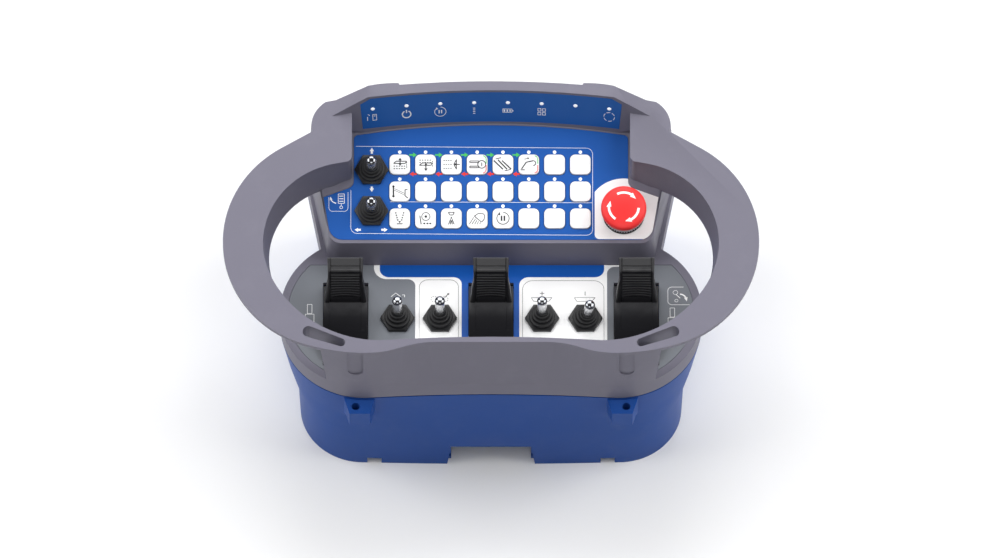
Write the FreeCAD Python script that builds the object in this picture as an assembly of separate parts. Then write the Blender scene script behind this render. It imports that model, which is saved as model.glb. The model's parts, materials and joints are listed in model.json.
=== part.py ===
import FreeCAD, Part
import math
import os

from FreeCAD import Placement, Rotation, Vector

# Handheld radio transmitter for a machine: a blue tub, a gray deck with three
# thumb paddles and four toggles, a tilted keypad console and a guard ring.
# Millimetres. X is the width, Y points to the rear, Z up, the origin is under
# the middle of the housing on the surface that it stands on.

# Tub
tub_height = 84.0
tub_waist_z = 40.0
tub_shoulder_z = 61.0
tub_base_half_width = 121.9
tub_waist_half_width = 123.0
tub_shoulder_half_width = 129.8
tub_base_front_y = -86.6
tub_base_corner = 40.0
tub_shoulder_corner = 50.0
tub_side_end_y = -28.0
tub_base_dip = -1.2
tub_waist_dip = -0.6
tub_shoulder_dip = 1.2
tub_rear_inset = 0.5
tub_side_inset = 10.0
wall = 3.0

# Rim and deck
rim_half_width = 134.2
rim_corner = 54.0
rim_front_y = -87.7
rim_height = 14.0
rim_side_end_y = -32.5
rim_border = 5.0
front_dip = 2.7
seal_thickness = 1.0
seal_width = 2.2
seal_inset = 0.8

# Console
console_front_y = 2.0
console_front_half_width = 106.2
console_rear_half_width = 118.7
console_side_lean = 2.9
console_step = 0.5
console_front_corner = 9.0
console_rear_y = 94.4
console_front_height = 24.5
console_front_lean = 4.0
keypad_tilt = 15.0
keypad_lip = 2.0
rear_corner_length = 25.0
rear_corner_step = 9.4
rear_corner_depth = 8.7
rear_corner_bulge = 2.0
rear_shoulder_step = 34.2
rear_shoulder_depth = 3.7
rear_flat_step = 51.6
rear_flat_depth = 1.3
rear_flat_width = 3.6
rear_step_depth = 1.3
panel_groove_width = 0.7
panel_groove_depth = 0.9
panel_groove_inset = 1.3

# Labels
label_thickness = 0.5
label_recess = 0.5
label_gap = 0.3
label_margin = 2.2
label_arm_margin = 0.9
label_front_corner = 9.5
label_rear_corner = 3.0

# Guard ring, drawn in its own tilted plane
ring_tilt = 6.6
ring_front_y = -87.8
ring_rise = 43.0
ring_outer_radius = 74.7
ring_outer_center_x = 95.5
ring_front_radius = 128.5
ring_front_x = 79.0
ring_front_w = 0.5
ring_dip_x = 35.0
ring_dip_w = 8.0
ring_tail_angle = 59.5
ring_tail_w = 158.0
ring_inner_radius = 55.5
ring_inner_center_x = 89.2
ring_inner_shrink = 1.5
ring_inner_drift = 0.47
ring_inner_front_radius = 76.8
ring_inner_front_x = 70.0
ring_inner_front_w = 9.2
ring_inner_bow = 2.4
ring_inner_tail_angle = 78.0
ring_arm_w = 132.7
ring_arm_x = 88.5
arm_corner = 4.0
arm_front_y = 32.6
arm_front_lean = 11.0
arm_slant = 0.34
ring_edge = 3.6
ring_depth = 25.0
ring_lean = 8.0
ring_foot = 3.0
front_wall_thickness = 3.0
front_wall_top_half_width = 108.0
front_wall_foot_half_width = 104.5
groove_x = 86.0
groove_width = 9.7
groove_height = 25.0
groove_depth = 2.1
strap_slot_outer_radius = 3.7
strap_slot_inner_radius = 2.7
strap_slot_outer_x = 115.6
strap_slot_inner_x = 95.0
strap_slot_outer_w = 15.2
strap_slot_inner_w = 7.8

# Hood over the rear of the keypad, with the indicator strip
hood_rise = 74.4
hood_end_x = 78.3
hood_end_slope = 28.7
hood_bow_radius = 600.0
keypad_length = 76.9
hood_lean = 76.0
window_half_width = 83.2
window_foot_half_width = 81.6
window_corner_width = 6.5
window_corner_height = 4.0
window_thickness = 1.5
window_margin = 1.9
window_gap = 0.1
indicator_count = 8
indicator_pitch = 21.5
indicator_radius = 1.6
indicator_height = 0.4
indicator_share = 0.65

# Lugs for the carrying strap and the notches of the front wall
lug_x = 83.5
lug_hole_x = 86.0
lug_hole_y = -92.4
lug_hole_radius = 2.65
lug_front_y = -97.8
lug_drop = 1.5
lug_height = 22.0
lug_block_height = 14.5
lug_foot_rise = 0.6
lug_hole_depth = 8.0
lug_root_width = 20.7
lug_tip_width = 13.0
notch_x = 74.5
notch_width = 9.0
notch_height = 5.9

# Battery and its bay under the tub
bay_half_width = 25.5
bay_mouth_flare = 2.5
bay_height = 22.0
bay_wall = 2.5
bay_end_y = 30.0
battery_gap = 0.3
battery_recess = 15.0
battery_floor_gap = 0.6
tongue_z = 4.5
tongue_height = 3.0
tongue_depth = 1.3
contact_width = 6.0
contact_spacing = 20.0
contact_depth = 2.0

# Housing screws
screw_radius = 2.0
screw_head_radius = 3.4
screw_head_height = 4.0
screw_sink = 22.0
screw_length = 32.0
screw_gap = 0.08
boss_radius = 4.8
screw_side_x = 115.5
screw_side_y = -38.0
screw_front_x = 46.0
screw_front_y = -79.0
screw_rear_x = 84.0
screw_rear_y = 82.9

# Thumb paddles
paddle_pitch = 92.5
paddle_y = -41.5
paddle_axis_depth = 19.5
drum_radius = 34.0
drum_width = 28.3
drum_wall = 2.5
drum_reach = 84.0
paddle_side_gap = 0.3
paddle_slot_half_length = 30.3
blade_front_angle = 13.0
blade_back_angle = 28.0
blade_base_width = 26.0
blade_top_width = 23.4
blade_top_y = 22.5
blade_top_z = 64.5
blade_shoulder_y = 15.6
blade_shoulder_z = 58.5
blade_back_y = 24.5
blade_back_z = 61.5
blade_rib_count = 7
blade_rib_pitch = 3.0
blade_rib_depth = 0.7
blade_rib_width = 1.5
blade_rib_margin = 2.6
hub_radius = 6.0
axle_radius = 3.0
axle_gap = 0.05
spring_gap = 0.3
spring_wall = 1.5
spring_length = 12.0
case_wall = 2.5
case_gap = 0.35
case_half_length = 24.0
case_drop = 16.0

# Toggles
toggle_y = -37.8
toggle_xs = (-59.5, -32.5, 32.5, 60.0)
console_toggle_x = -76.1
console_toggle_ds = (46.2, 19.1)
nut_flats = 19.0
nut_height = 2.2
bushing_radius = 5.95
bushing_bore = 3.9
bushing_top = 3.0
bushing_gap = 0.1
switch_width = 14.0
switch_depth = 18.0
lever_tip_radius = 3.2
lever_stem_radius = 2.2
lever_neck_radius = 2.6
lever_ball_radius = 3.6
lever_pivot = -1.0
lever_top = 24.8
boot_gap = 0.06
boot_flange_radius = 8.2
boot_flange_height = 2.2
boot_top = 13.0
boot_top_wall = 0.9
leaning_toggle = 3
lean_right = 7.0
lean_front = 6.6

# Keys
key_columns = 8
key_rows = 3
key_size = 13.2
key_corner = 3.3
key_pitch_x = 16.43
key_first_x = -58.1
key_pitch_d = 17.8
key_first_d = 14.1
key_gap = 0.3
key_rise = 1.0
key_travel = 0.6
key_flange = 0.7
key_flange_height = 0.9
key_light_offset = 8.1
key_light_radius = 0.9
key_light_gap = 0.05
board_gap = 2.0
board_thickness = 1.6
board_margin = 3.0
key_post_radius = 2.0

# Stop button
stop_x = 84.4
stop_d = 17.1
stop_collar_radius = 12.75
stop_collar_height = 4.6
stop_barrel_radius = 11.0
stop_barrel_depth = 8.0
stop_head_radius = 14.75
stop_head_under = 8.9
stop_head_top = 19.0
stop_dome = 2.4
stop_stem_radius = 5.0
stop_peg_radius = 4.0
stop_peg_depth = 6.0
stop_travel = 4.0
stop_gap = 0.05
stop_block_width = 28.0
stop_block_depth = 20.0
stop_plunger_depth = 13.0

# Electronics in the tub
main_board_z = 31.0
main_board_half_width = 88.0
main_board_rear_y = 60.0
main_board_front_y = -60.0
post_radius = 4.0
post_inset = 6.0
radio_width = 44.0
radio_length = 30.0
radio_height = 6.0
radio_x = 40.0
radio_y = 36.0
antenna_radius = 2.5
antenna_length = 90.0

# Derived places
rim_base_z = tub_height + seal_thickness
deck_z = rim_base_z + rim_height
tilt = math.radians(keypad_tilt)
console_lean = math.tan(math.radians(console_front_lean))
side_lean = math.tan(math.radians(console_side_lean))
arm_lean = math.tan(math.radians(arm_front_lean))
panel_y = console_front_y + console_front_height * console_lean
panel_z = deck_z + console_front_height
panel_frame = Placement(
    Vector(0, panel_y + keypad_lip * math.cos(tilt), panel_z + keypad_lip * math.sin(tilt)),
    Rotation(Vector(1, 0, 0), keypad_tilt),
)
ring_front_z = deck_z + ring_rise
hood_top_z = deck_z + hood_rise
lug_top_z = tub_height - lug_drop
screw_seat_z = tub_height - screw_sink
ring_frame = Placement(Vector(0, ring_front_y, ring_front_z), Rotation(Vector(1, 0, 0), ring_tilt))
label_top = label_thickness - label_recess
paddle_xs = (-paddle_pitch, 0.0, paddle_pitch)
paddle_z = deck_z - paddle_axis_depth
big = 400.0


# Drawing helpers

def arc_point(center, radius, angle):
    """Point of a circle at an angle in degrees."""
    turn = math.radians(angle)
    return (center[0] + radius * math.cos(turn), center[1] + radius * math.sin(turn))


def angle_of(center, point):
    """Angle in degrees of a point seen from a center."""
    return math.degrees(math.atan2(point[1] - center[1], point[0] - center[0]))


def arc_step(center, radius, start, end):
    """Outline step along a circle from one angle to another."""
    return arc_point(center, radius, end) + arc_point(center, radius, (start + end) / 2)


def outline(start, steps, z=0.0):
    """Closed wire: a step is an end point, with a point on the way if it is an arc."""
    edges = []
    here = Vector(start[0], start[1], z)
    first = here
    for step in steps:
        end = Vector(step[0], step[1], z)
        if len(step) == 4:
            edges.append(Part.Arc(here, Vector(step[2], step[3], z), end).toShape())
        else:
            edges.append(Part.LineSegment(here, end).toShape())
        here = end
    if here.distanceToPoint(first) > 1e-6:
        edges.append(Part.LineSegment(here, first).toShape())
    return Part.Wire(edges)


def mirror_back(start, steps):
    """The same path walked back on the other side of the symmetry plane."""
    points = [start] + [step[:2] for step in steps]
    back = []
    for index in range(len(steps) - 1, -1, -1):
        x, y = points[index]
        step = steps[index]
        if len(step) == 4:
            back.append((-x, y, -step[2], step[3]))
        else:
            back.append((-x, y))
    return back


def loft(wires):
    """Solid with straight rulings between closed wires."""
    return Part.makeLoft(wires, True, True)


def prism(wire, height):
    """Solid of a flat wire pushed along Z."""
    return Part.Face(wire).extrude(Vector(0, 0, height))


def box(x0, x1, y0, y1, z0, z1):
    """Box between two corners."""
    return Part.makeBox(x1 - x0, y1 - y0, z1 - z0, Vector(x0, y0, z0))


def cylinder(radius, z0, z1, x=0.0, y=0.0):
    """Upright cylinder between two heights."""
    return Part.makeCylinder(radius, z1 - z0, Vector(x, y, z0))


def revolve(points):
    """Solid of a half section of (radius, height) points turned about Z."""
    corners = [Vector(radius, 0, height) for radius, height in points]
    face = Part.Face(Part.makePolygon(corners + corners[:1]))
    return face.revolve(Vector(0, 0, 0), Vector(0, 0, 1), 360)


def rounded_square(size, corner, z):
    """Square outline about the origin with rounded corners."""
    half = size / 2
    flat = half - corner
    steps = [(half, flat), arc_step((flat, flat), corner, 0, 90)]
    steps += [(-flat, half), arc_step((-flat, flat), corner, 90, 180)]
    steps += [(-half, -flat), arc_step((-flat, -flat), corner, 180, 270)]
    steps += [(flat, -half), arc_step((flat, -flat), corner, 270, 360)]
    return outline((half, -flat), steps, z)


def placed(shape, placement):
    """Copy of a shape moved by a placement."""
    copy = shape.copy()
    copy.Placement = placement.multiply(copy.Placement)
    return copy


def moved(shape, x, y, z=0.0):
    """Copy of a shape shifted by a vector."""
    return placed(shape, Placement(Vector(x, y, z), Rotation()))


def both_sides(shape):
    """A shape and its mirror image across the symmetry plane."""
    return [shape, shape.mirror(Vector(0, 0, 0), Vector(1, 0, 0))]


def joined(shapes):
    """Fusion of shapes without the seams between their faces."""
    return shapes[0].fuse(shapes[1:]).removeSplitter()


# Plan outlines of the housing

def rear_steps(inset, side):
    """Rounded rear corner, shoulder and the step of the rear face, on the right."""
    half = console_rear_half_width - side
    rear = console_rear_y - inset
    corner_start = (half, rear - rear_corner_length + inset)
    corner_end = (half - rear_corner_step + inset * 0.45, rear - rear_corner_depth + inset * 0.2)
    middle_y = (corner_start[1] + corner_end[1]) / 2 + rear_corner_bulge
    corner_mid = (half - rear_corner_step * 0.34, middle_y)
    shoulder = (half - rear_shoulder_step + inset * 0.7, rear - rear_shoulder_depth)
    flat = (half - rear_flat_step + inset * 0.7, rear - rear_flat_depth)
    bend = ((shoulder[0] + flat[0]) / 2, (shoulder[1] + flat[1]) / 2 + 0.5)
    edge = (flat[0] - rear_flat_width, flat[1])
    foot = (edge[0] - rear_step_depth / 2, edge[1] - rear_step_depth)
    return [corner_start, corner_end + corner_mid, shoulder, flat + bend, edge, foot]


def with_rear(start, steps, inset, side, z, bow):
    """Whole outline from its right side, the rear arc and the left side."""
    steps = steps + rear_steps(inset, side)
    foot = steps[-1][:2]
    rear = [(-foot[0], foot[1], 0.0, console_rear_y - inset)]
    left = mirror_back(start, steps)
    front = [(start[0], start[1], 0.0, start[1] + bow)] if bow else []
    return outline(start, steps + rear + left + front, z)


def console_side_x(y, inset):
    """Half width of the tapered console at a depth."""
    rise = console_rear_y - rear_corner_length - console_front_y
    taper = (console_rear_half_width - console_front_half_width) / rise
    return console_front_half_width - inset + taper * (y - console_front_y), taper


def body_outline(z, half_width, corner, front_y, side_end_y, dip, inset, rear_inset, side_inset):
    """Tub or rim in plan: round front corners, sides that sweep in to the console."""
    half = half_width - inset
    radius = corner - inset
    front = front_y + inset
    center = (half - radius, front + radius)
    sweep = (half - radius, side_end_y)
    base_x, taper = console_side_x(0.0, side_inset)
    shift = base_x - sweep[0]
    a = taper * taper + 1
    b = 2 * (shift * taper - sweep[1])
    c = shift * shift + sweep[1] * sweep[1] - radius * radius
    meet_y = (-b + math.sqrt(b * b - 4 * a * c)) / (2 * a)
    meet = (base_x + taper * meet_y, meet_y)
    steps = [arc_step(center, radius, -90, 0), (half, side_end_y)]
    steps.append(arc_step(sweep, radius, 0, angle_of(sweep, meet)))
    return with_rear((center[0], front), steps, rear_inset, side_inset, z, dip)


def tub_outlines(inset, floor_z, top_z):
    """Tub sections from the floor through waist and shoulder to the rim."""
    rear = inset + tub_rear_inset
    front_ys = [tub_base_front_y]
    for z in (tub_waist_z, tub_shoulder_z):
        front_ys.append(tub_base_front_y + (rim_front_y - tub_base_front_y) * z / tub_height)
    base = (tub_base_half_width, tub_base_corner, front_ys[0], tub_side_end_y, tub_base_dip)
    waist = (tub_waist_half_width, tub_base_corner, front_ys[1], tub_side_end_y, tub_waist_dip)
    shoulder = (tub_shoulder_half_width, tub_shoulder_corner, front_ys[2], tub_side_end_y, tub_shoulder_dip)
    rim = (rim_half_width, rim_corner, rim_front_y, rim_side_end_y, front_dip)
    wires = []
    for z, section in ((floor_z, base), (tub_waist_z, waist), (tub_shoulder_z, shoulder)):
        side = inset + tub_side_inset * (1 - z / tub_height)
        wires.append(body_outline(z, *section, inset, rear, side))
    wires.append(body_outline(tub_height, *rim, inset, inset, inset))
    if top_z > tub_height:
        wires.append(body_outline(top_z, *rim, inset, inset, inset))
    return wires


def rim_outline(z, inset):
    """Rim in plan, drawn inset from its outer face."""
    rim = (rim_half_width, rim_corner, rim_front_y, rim_side_end_y, front_dip)
    return body_outline(z, *rim, inset, inset, inset)


def console_outline(z, inset):
    """Console in plan: its front and sides lean in with height."""
    front = console_front_y + (z - deck_z) * console_lean + inset
    side = inset + console_step + (z - rim_base_z) * side_lean
    half = console_side_x(front, side)[0]
    corner = console_front_corner - inset
    start = (half - corner, front)
    steps = [arc_step((half - corner, front + corner), corner, -90, 0)]
    return with_rear(start, steps, inset + console_step, side, z, 0.0)


def front_y_at(x):
    """Depth of the bowed front face of the rim."""
    flat = rim_half_width - rim_corner
    if abs(x) > flat:
        return rim_front_y + rim_corner - math.sqrt(rim_corner ** 2 - (abs(x) - flat) ** 2)
    return rim_front_y + front_dip * (1 - (x / flat) ** 2)


def above_panel(rise):
    """Everything over the keypad plane."""
    return placed(box(-big, big, -big, big, rise, rise + big), panel_frame)


# Places that several pieces share

def screw_places():
    """Plan positions of the six housing screws."""
    places = []
    for side in (-1, 1):
        places.append((side * screw_side_x, screw_side_y))
        places.append((side * screw_front_x, screw_front_y))
        places.append((side * screw_rear_x, screw_rear_y))
    return places


def key_places():
    """Row, column and panel position of each key, the far row first."""
    places = []
    for row in range(key_rows):
        for column in range(key_columns):
            x = key_first_x + column * key_pitch_x
            d = key_first_d + (key_rows - 1 - row) * key_pitch_d
            places.append((row + 1, column + 1, x, d))
    return places


def toggle_frames():
    """Frame of each toggle: origin on its label, Z along its bushing."""
    frames = []
    for x in toggle_xs:
        frames.append(Placement(Vector(x, toggle_y, deck_z + label_top), Rotation()))
    for d in console_toggle_ds:
        seat = Placement(Vector(console_toggle_x, d, label_top), Rotation())
        frames.append(panel_frame.multiply(seat))
    return frames


def toggle_lean(index):
    """Rest turn of a toggle lever about its pivot."""
    pivot = Vector(0, 0, lever_pivot)
    turn = Rotation()
    if index == leaning_toggle:
        side = math.tan(math.radians(lean_right))
        front = math.tan(math.radians(lean_front))
        turn = Rotation(Vector(0, 0, 1), Vector(side, -front, 1))
    return Placement(Vector(0, 0, 0), turn, pivot)


stop_frame = panel_frame.multiply(Placement(Vector(stop_x, stop_d, 0), Rotation()))
paddle_slot_half_width = drum_width / 2 + paddle_side_gap


# Tub with lugs, battery bay, screw columns and board posts

def make_lug():
    """Strap lug on the right of the front wall: an upright block over a taper, without its hole."""
    root_y = rim_front_y + wall
    half_root = lug_root_width / 2
    half_tip = lug_tip_width / 2
    block = [(lug_x + half_tip, lug_front_y), (lug_x - half_tip, lug_front_y), (lug_x - half_root, root_y)]
    foot_y = rim_front_y - lug_foot_rise
    foot = [(lug_x + half_tip, foot_y), (lug_x - half_tip, foot_y), (lug_x - half_root, root_y)]
    start = (lug_x + half_root, root_y)
    heights = (lug_top_z - lug_block_height, lug_top_z)
    return loft([outline(start, foot, lug_top_z - lug_height)] + [outline(start, block, z) for z in heights])


def make_lower_housing():
    outer = loft(tub_outlines(0.0, 0.0, tub_height))
    inner = loft(tub_outlines(wall, wall, tub_height + wall))
    tub = outer.cut(inner)
    adds = both_sides(make_lug().cut(inner))
    bay_top = bay_height + bay_wall
    bay_side = bay_half_width + bay_wall
    bay = box(-bay_side, bay_side, tub_base_front_y, bay_end_y + bay_wall, 0, bay_top)
    adds.append(bay.common(outer))
    for x, y in screw_places():
        adds.append(cylinder(boss_radius, 0, tub_height, x, y).common(outer))
    for x in (-main_board_half_width + post_inset, main_board_half_width - post_inset):
        for y in (main_board_front_y + post_inset, main_board_rear_y - post_inset):
            adds.append(cylinder(post_radius, wall / 2, main_board_z, x, y))
    tub = joined([tub] + adds)
    cuts = [box(-bay_half_width, bay_half_width, -big, bay_end_y, -1, bay_height)]
    groove = bay_half_width + tongue_depth + battery_gap
    reach = tongue_height / 2 + battery_gap
    cuts.append(box(-groove, groove, -big, bay_end_y, tongue_z - reach, tongue_z + reach))
    mouth = bay_half_width + bay_mouth_flare
    flare = [(mouth, -0.01), (-mouth, -0.01), (-bay_half_width, bay_height)]
    flare_wire = outline((bay_half_width, bay_height), flare)
    upright = Placement(Vector(0, tub_base_front_y + wall, 0), Rotation(Vector(1, 0, 0), 90))
    cuts.append(placed(prism(flare_wire, big), upright))
    for x in (-notch_x, notch_x):
        half = notch_width / 2
        cuts.append(box(x - half, x + half, -big, tub_base_front_y + wall + 1, -1, notch_height))
    for x in (-lug_hole_x, lug_hole_x):
        cuts.append(cylinder(lug_hole_radius, lug_top_z - lug_hole_depth, lug_top_z + 1, x, lug_hole_y))
    for x, y in screw_places():
        cuts.append(cylinder(screw_radius + screw_gap, -1, tub_height + 1, x, y))
        cuts.append(cylinder(screw_head_radius + screw_gap, -1, screw_seat_z, x, y))
    return tub.cut(cuts)


def make_housing_seal():
    outer = prism(rim_outline(tub_height, seal_inset), seal_thickness)
    inner = prism(rim_outline(tub_height - 1, seal_inset + seal_width), seal_thickness + 2)
    seal = outer.cut(inner)
    return seal.cut([cylinder(boss_radius, 0, deck_z, x, y) for x, y in screw_places()])


def make_housing_screws():
    screws = []
    for x, y in screw_places():
        head = cylinder(screw_head_radius, screw_seat_z - screw_head_height, screw_seat_z, x, y)
        shank = cylinder(screw_radius, screw_seat_z, screw_seat_z + screw_length, x, y)
        screws.append(head.fuse(shank))
    return Part.makeCompound(screws)


# Gray upper housing: rim, deck and console

def deck_outline_solid(inset, z0, z1):
    """Prism of the deck inside its border, in front of the console."""
    solid = prism(rim_outline(z0, rim_border + inset), z1 - z0)
    front = console_front_y - inset
    return solid.cut(box(-big, big, front, big, z0 - 1, z1 + 1))


def panel_edge(margin):
    """Side of the keypad panel in its own frame: half width at its front and widening per length."""
    side = console_step + (panel_frame.Base.z - rim_base_z) * side_lean
    half, taper = console_side_x(panel_frame.Base.y, side)
    widening = taper * math.cos(tilt) - side_lean * math.sin(tilt)
    return half - margin, widening


def arm_line():
    """Front of the arms on the panel: depth at the arm corner and slant per width."""
    steepness = math.cos(tilt) - arm_lean * math.sin(tilt)
    front = arm_front_y + (panel_frame.Base.z - deck_z) * arm_lean
    return (front - panel_frame.Base.y) / steepness, arm_slant / steepness


def keypad_outline(z, inset):
    """Keypad label in the panel frame: wide at the front, narrow between the arms."""
    half, widening = panel_edge(label_margin + inset)
    lean = math.degrees(math.atan(widening))
    corner = label_front_corner - inset
    center_x = half + widening * (corner + inset) - corner / math.cos(math.radians(lean))
    start = (center_x, inset)
    steps = [arc_step((center_x, inset + corner), corner, -90, -lean)]
    margin = label_arm_margin + inset
    depth, slant = arm_line()
    fall = math.degrees(math.atan(slant))
    arm = (ring_arm_x + arm_corner, depth + arm_corner / math.cos(math.radians(fall)))
    radius = arm_corner + margin
    bend = arc_point(arm, radius, 270 - fall)
    outer_d = (bend[1] - slant * (half - bend[0])) / (1 + slant * widening)
    steps += [(half + widening * outer_d, outer_d), bend, arc_step(arm, radius, 270 - fall, 180)]
    narrow = arm[0] - radius
    top = keypad_length - label_arm_margin - inset
    side_top = top - hood_bow(narrow)
    rear = label_rear_corner
    steps.append((narrow, side_top - rear))
    steps.append(arc_step((narrow - rear, side_top - rear), rear, 0, 90))
    over = [(rear - narrow, side_top, 0.0, top)]
    return outline(start, steps + over + mirror_back(start, steps), z)


def panel_groove():
    """Thin groove along the right side of the panel, between its cover and its edge."""
    half, widening = panel_edge(panel_groove_inset)
    groove = box(-panel_groove_width, 0, label_front_corner, keypad_length, -panel_groove_depth, 1)
    turn = Rotation(Vector(0, 0, 1), -math.degrees(math.atan(widening)))
    return placed(groove, Placement(Vector(half, 0, 0), turn))


def key_holes(size, corner, z0, z1):
    """Prisms through the panel at every key."""
    hole = prism(rounded_square(size, corner, z0), z1 - z0)
    return [moved(hole, x, d) for row, column, x, d in key_places()]


def key_light_pins(radius, z0, z1):
    """Cylinders through the panel at every key light."""
    return [cylinder(radius, z0, z1, x, d + key_light_offset) for row, column, x, d in key_places()]


def board_post_places():
    """Panel positions of the posts that carry the keypad board."""
    places = []
    for column in (0, key_columns - 2):
        for row in range(key_rows - 1):
            x = key_first_x + (column + 0.5) * key_pitch_x
            places.append((x, key_first_d + (row + 0.5) * key_pitch_d))
    return places


def board_limits():
    """Keypad board outline in the panel frame."""
    half = key_size / 2 + board_margin
    x0 = key_first_x - half
    x1 = key_first_x + (key_columns - 1) * key_pitch_x + half
    d0 = key_first_d - half
    d1 = key_first_d + (key_rows - 1) * key_pitch_d + half
    return x0, x1, d0, d1


def make_upper_housing():
    console = loft([console_outline(rim_base_z, 0.0), console_outline(panel_z + big / 8, 0.0)])
    console = console.cut(above_panel(0.0))
    rim = prism(rim_outline(rim_base_z, 0.0), rim_height)
    outer = joined([rim, console])
    console_room = loft([console_outline(rim_base_z - 1, wall), console_outline(panel_z + big / 8, wall)])
    console_room = console_room.cut(above_panel(-wall))
    rim_room = prism(rim_outline(rim_base_z - 1, wall), rim_height + 1 - wall)
    shell = outer.cut(console_room.fuse(rim_room))
    adds = []
    for x, y in screw_places():
        boss = cylinder(boss_radius, rim_base_z, screw_seat_z + screw_length + 2, x, y)
        adds.append(boss.common(outer))
    for x, d in board_post_places():
        adds.append(placed(cylinder(key_post_radius, -wall - board_gap, -wall / 2, x, d), panel_frame))
    shell = joined([shell] + adds)
    cuts = [deck_outline_solid(0.0, deck_z - label_recess, deck_z + 1)]
    for x in paddle_xs:
        half = paddle_slot_half_width
        y0 = paddle_y - paddle_slot_half_length
        y1 = paddle_y + paddle_slot_half_length
        cuts.append(box(x - half, x + half, y0, y1, deck_z - wall - 1, deck_z + 1))
    for frame in toggle_frames():
        cuts.append(placed(cylinder(bushing_radius + bushing_gap, -wall - 1, 1), frame))
    for x, y in screw_places():
        cuts.append(cylinder(screw_radius + screw_gap, 0, screw_seat_z + screw_length + 0.5, x, y))
    panel_cuts = [prism(keypad_outline(-label_recess, 0.0), 1.0)]
    panel_cuts += key_holes(key_size + 2 * key_gap, key_corner, -wall - 1, 1)
    panel_cuts += key_light_pins(key_light_radius + key_light_gap, -wall - 1, 1)
    panel_cuts += both_sides(panel_groove())
    cuts += [placed(cut, panel_frame) for cut in panel_cuts]
    cuts.append(placed(cylinder(stop_barrel_radius + bushing_gap, -wall - 1, 1), stop_frame))
    return shell.cut(cuts)


def make_deck_overlay():
    z0 = deck_z - label_recess
    label = deck_outline_solid(label_gap, z0, z0 + label_thickness)
    cuts = []
    for x in paddle_xs:
        half = paddle_slot_half_width
        y0 = paddle_y - paddle_slot_half_length
        y1 = paddle_y + paddle_slot_half_length
        cuts.append(box(x - half, x + half, y0, y1, z0 - 1, deck_z + 1))
    for frame in toggle_frames()[:len(toggle_xs)]:
        cuts.append(placed(cylinder(bushing_radius + bushing_gap, -2, 2), frame))
    return label.cut(cuts)


def make_keypad_overlay():
    label = prism(keypad_outline(-label_recess, label_gap), label_thickness)
    cuts = key_holes(key_size + 2 * key_gap, key_corner, -2, 2)
    cuts += key_light_pins(key_light_radius + key_light_gap, -2, 2)
    for d in console_toggle_ds:
        cuts.append(cylinder(bushing_radius + bushing_gap, -2, 2, console_toggle_x, d))
    cuts.append(cylinder(stop_barrel_radius + bushing_gap, -2, 2, stop_x, stop_d))
    return placed(label.cut(cuts), panel_frame)


# Guard frame: ring, front wall, arms and hood

def s_steps(start, end):
    """Two equal arcs between points, level at both ends."""
    half_x = (end[0] - start[0]) / 2
    half_w = (end[1] - start[1]) / 2
    radius = (half_x ** 2 + half_w ** 2) / (2 * abs(half_w))
    quarter = math.atan2(abs(half_w), abs(half_x))
    dx = math.copysign(radius * math.sin(quarter), half_x)
    dw = math.copysign(radius * (1 - math.cos(quarter)), half_w)
    middle = (start[0] + half_x, start[1] + half_w)
    return [middle + (start[0] + dx, start[1] + dw), end + (end[0] - dx, end[1] - dw)]


def bend_pair(front_x, front_w, front_radius, side_x, side_radius, end_angle):
    """Front arc and the tighter side arc tangent to it, on the right."""
    front = (front_x, front_w + front_radius)
    spread = front_radius - side_radius
    side = (side_x, front[1] - math.sqrt(spread ** 2 - (side_x - front_x) ** 2))
    turn = angle_of(front, side)
    return [arc_step(front, front_radius, -90, turn), arc_step(side, side_radius, turn, end_angle)]


def ring_outer_outline(z):
    """Outer edge of the ring with its dip at the front."""
    start = (ring_dip_x, ring_dip_w)
    steps = s_steps(start, (ring_front_x, ring_front_w))
    steps += bend_pair(ring_front_x, ring_front_w, ring_front_radius,
                       ring_outer_center_x, ring_outer_radius, ring_tail_angle)
    end = steps[-1]
    tail_x = end[0] - (ring_tail_w - end[1]) * math.tan(math.radians(ring_tail_angle))
    steps.append((tail_x, ring_tail_w))
    return outline(start, steps + [(-tail_x, ring_tail_w)] + mirror_back(start, steps), z)


def ring_inner_bends(inset):
    """Inner edge of the ring on the right, moved into the opening."""
    center_x = ring_inner_center_x + ring_inner_drift * inset
    radius = ring_inner_radius - ring_inner_shrink * inset
    return bend_pair(ring_inner_front_x, ring_inner_front_w + inset, ring_inner_front_radius - inset,
                     center_x, radius, ring_inner_tail_angle)


def ring_foot_outline(z, inset):
    """Lower edge of the wedge section, close to the inner wall."""
    w = ring_inner_front_w + inset
    start = (ring_dip_x, w)
    steps = [((ring_dip_x + ring_inner_front_x) / 2, w), (ring_inner_front_x, w)]
    steps += ring_inner_bends(inset)
    steps.append((steps[-1][0], ring_tail_w))
    tail = [(-steps[-1][0], ring_tail_w)]
    return outline(start, steps + tail + mirror_back(start, steps), z)


def ring_inner_outline(z, inset):
    """Opening of the ring, with the way out between the arms of the hood."""
    start = (ring_inner_front_x, ring_inner_front_w + inset)
    steps = ring_inner_bends(inset)
    corner = (ring_arm_x + arm_corner, ring_arm_w + arm_corner - inset)
    steps.append((corner[0], corner[1] - arm_corner))
    steps.append(arc_step(corner, arm_corner, 270, 180))
    steps.append((ring_arm_x, ring_tail_w + wall))
    tail = [(-ring_arm_x, ring_tail_w + wall)]
    bow = [start + (0.0, start[1] + ring_inner_bow)]
    return outline(start, steps + tail + mirror_back(start, steps) + bow, z)


def ring_slope():
    """How far the inner wall of the ring leans into the opening per depth."""
    return math.tan(math.radians(ring_lean))


def make_ring():
    """Wedge ring in its own plane, still without its opening."""
    foot = ring_depth * ring_slope() - ring_foot
    foot_wire = ring_foot_outline(-ring_depth, foot)
    body = loft([ring_outer_outline(0.0), ring_outer_outline(-ring_edge), foot_wire])
    return placed(body, ring_frame)


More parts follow.
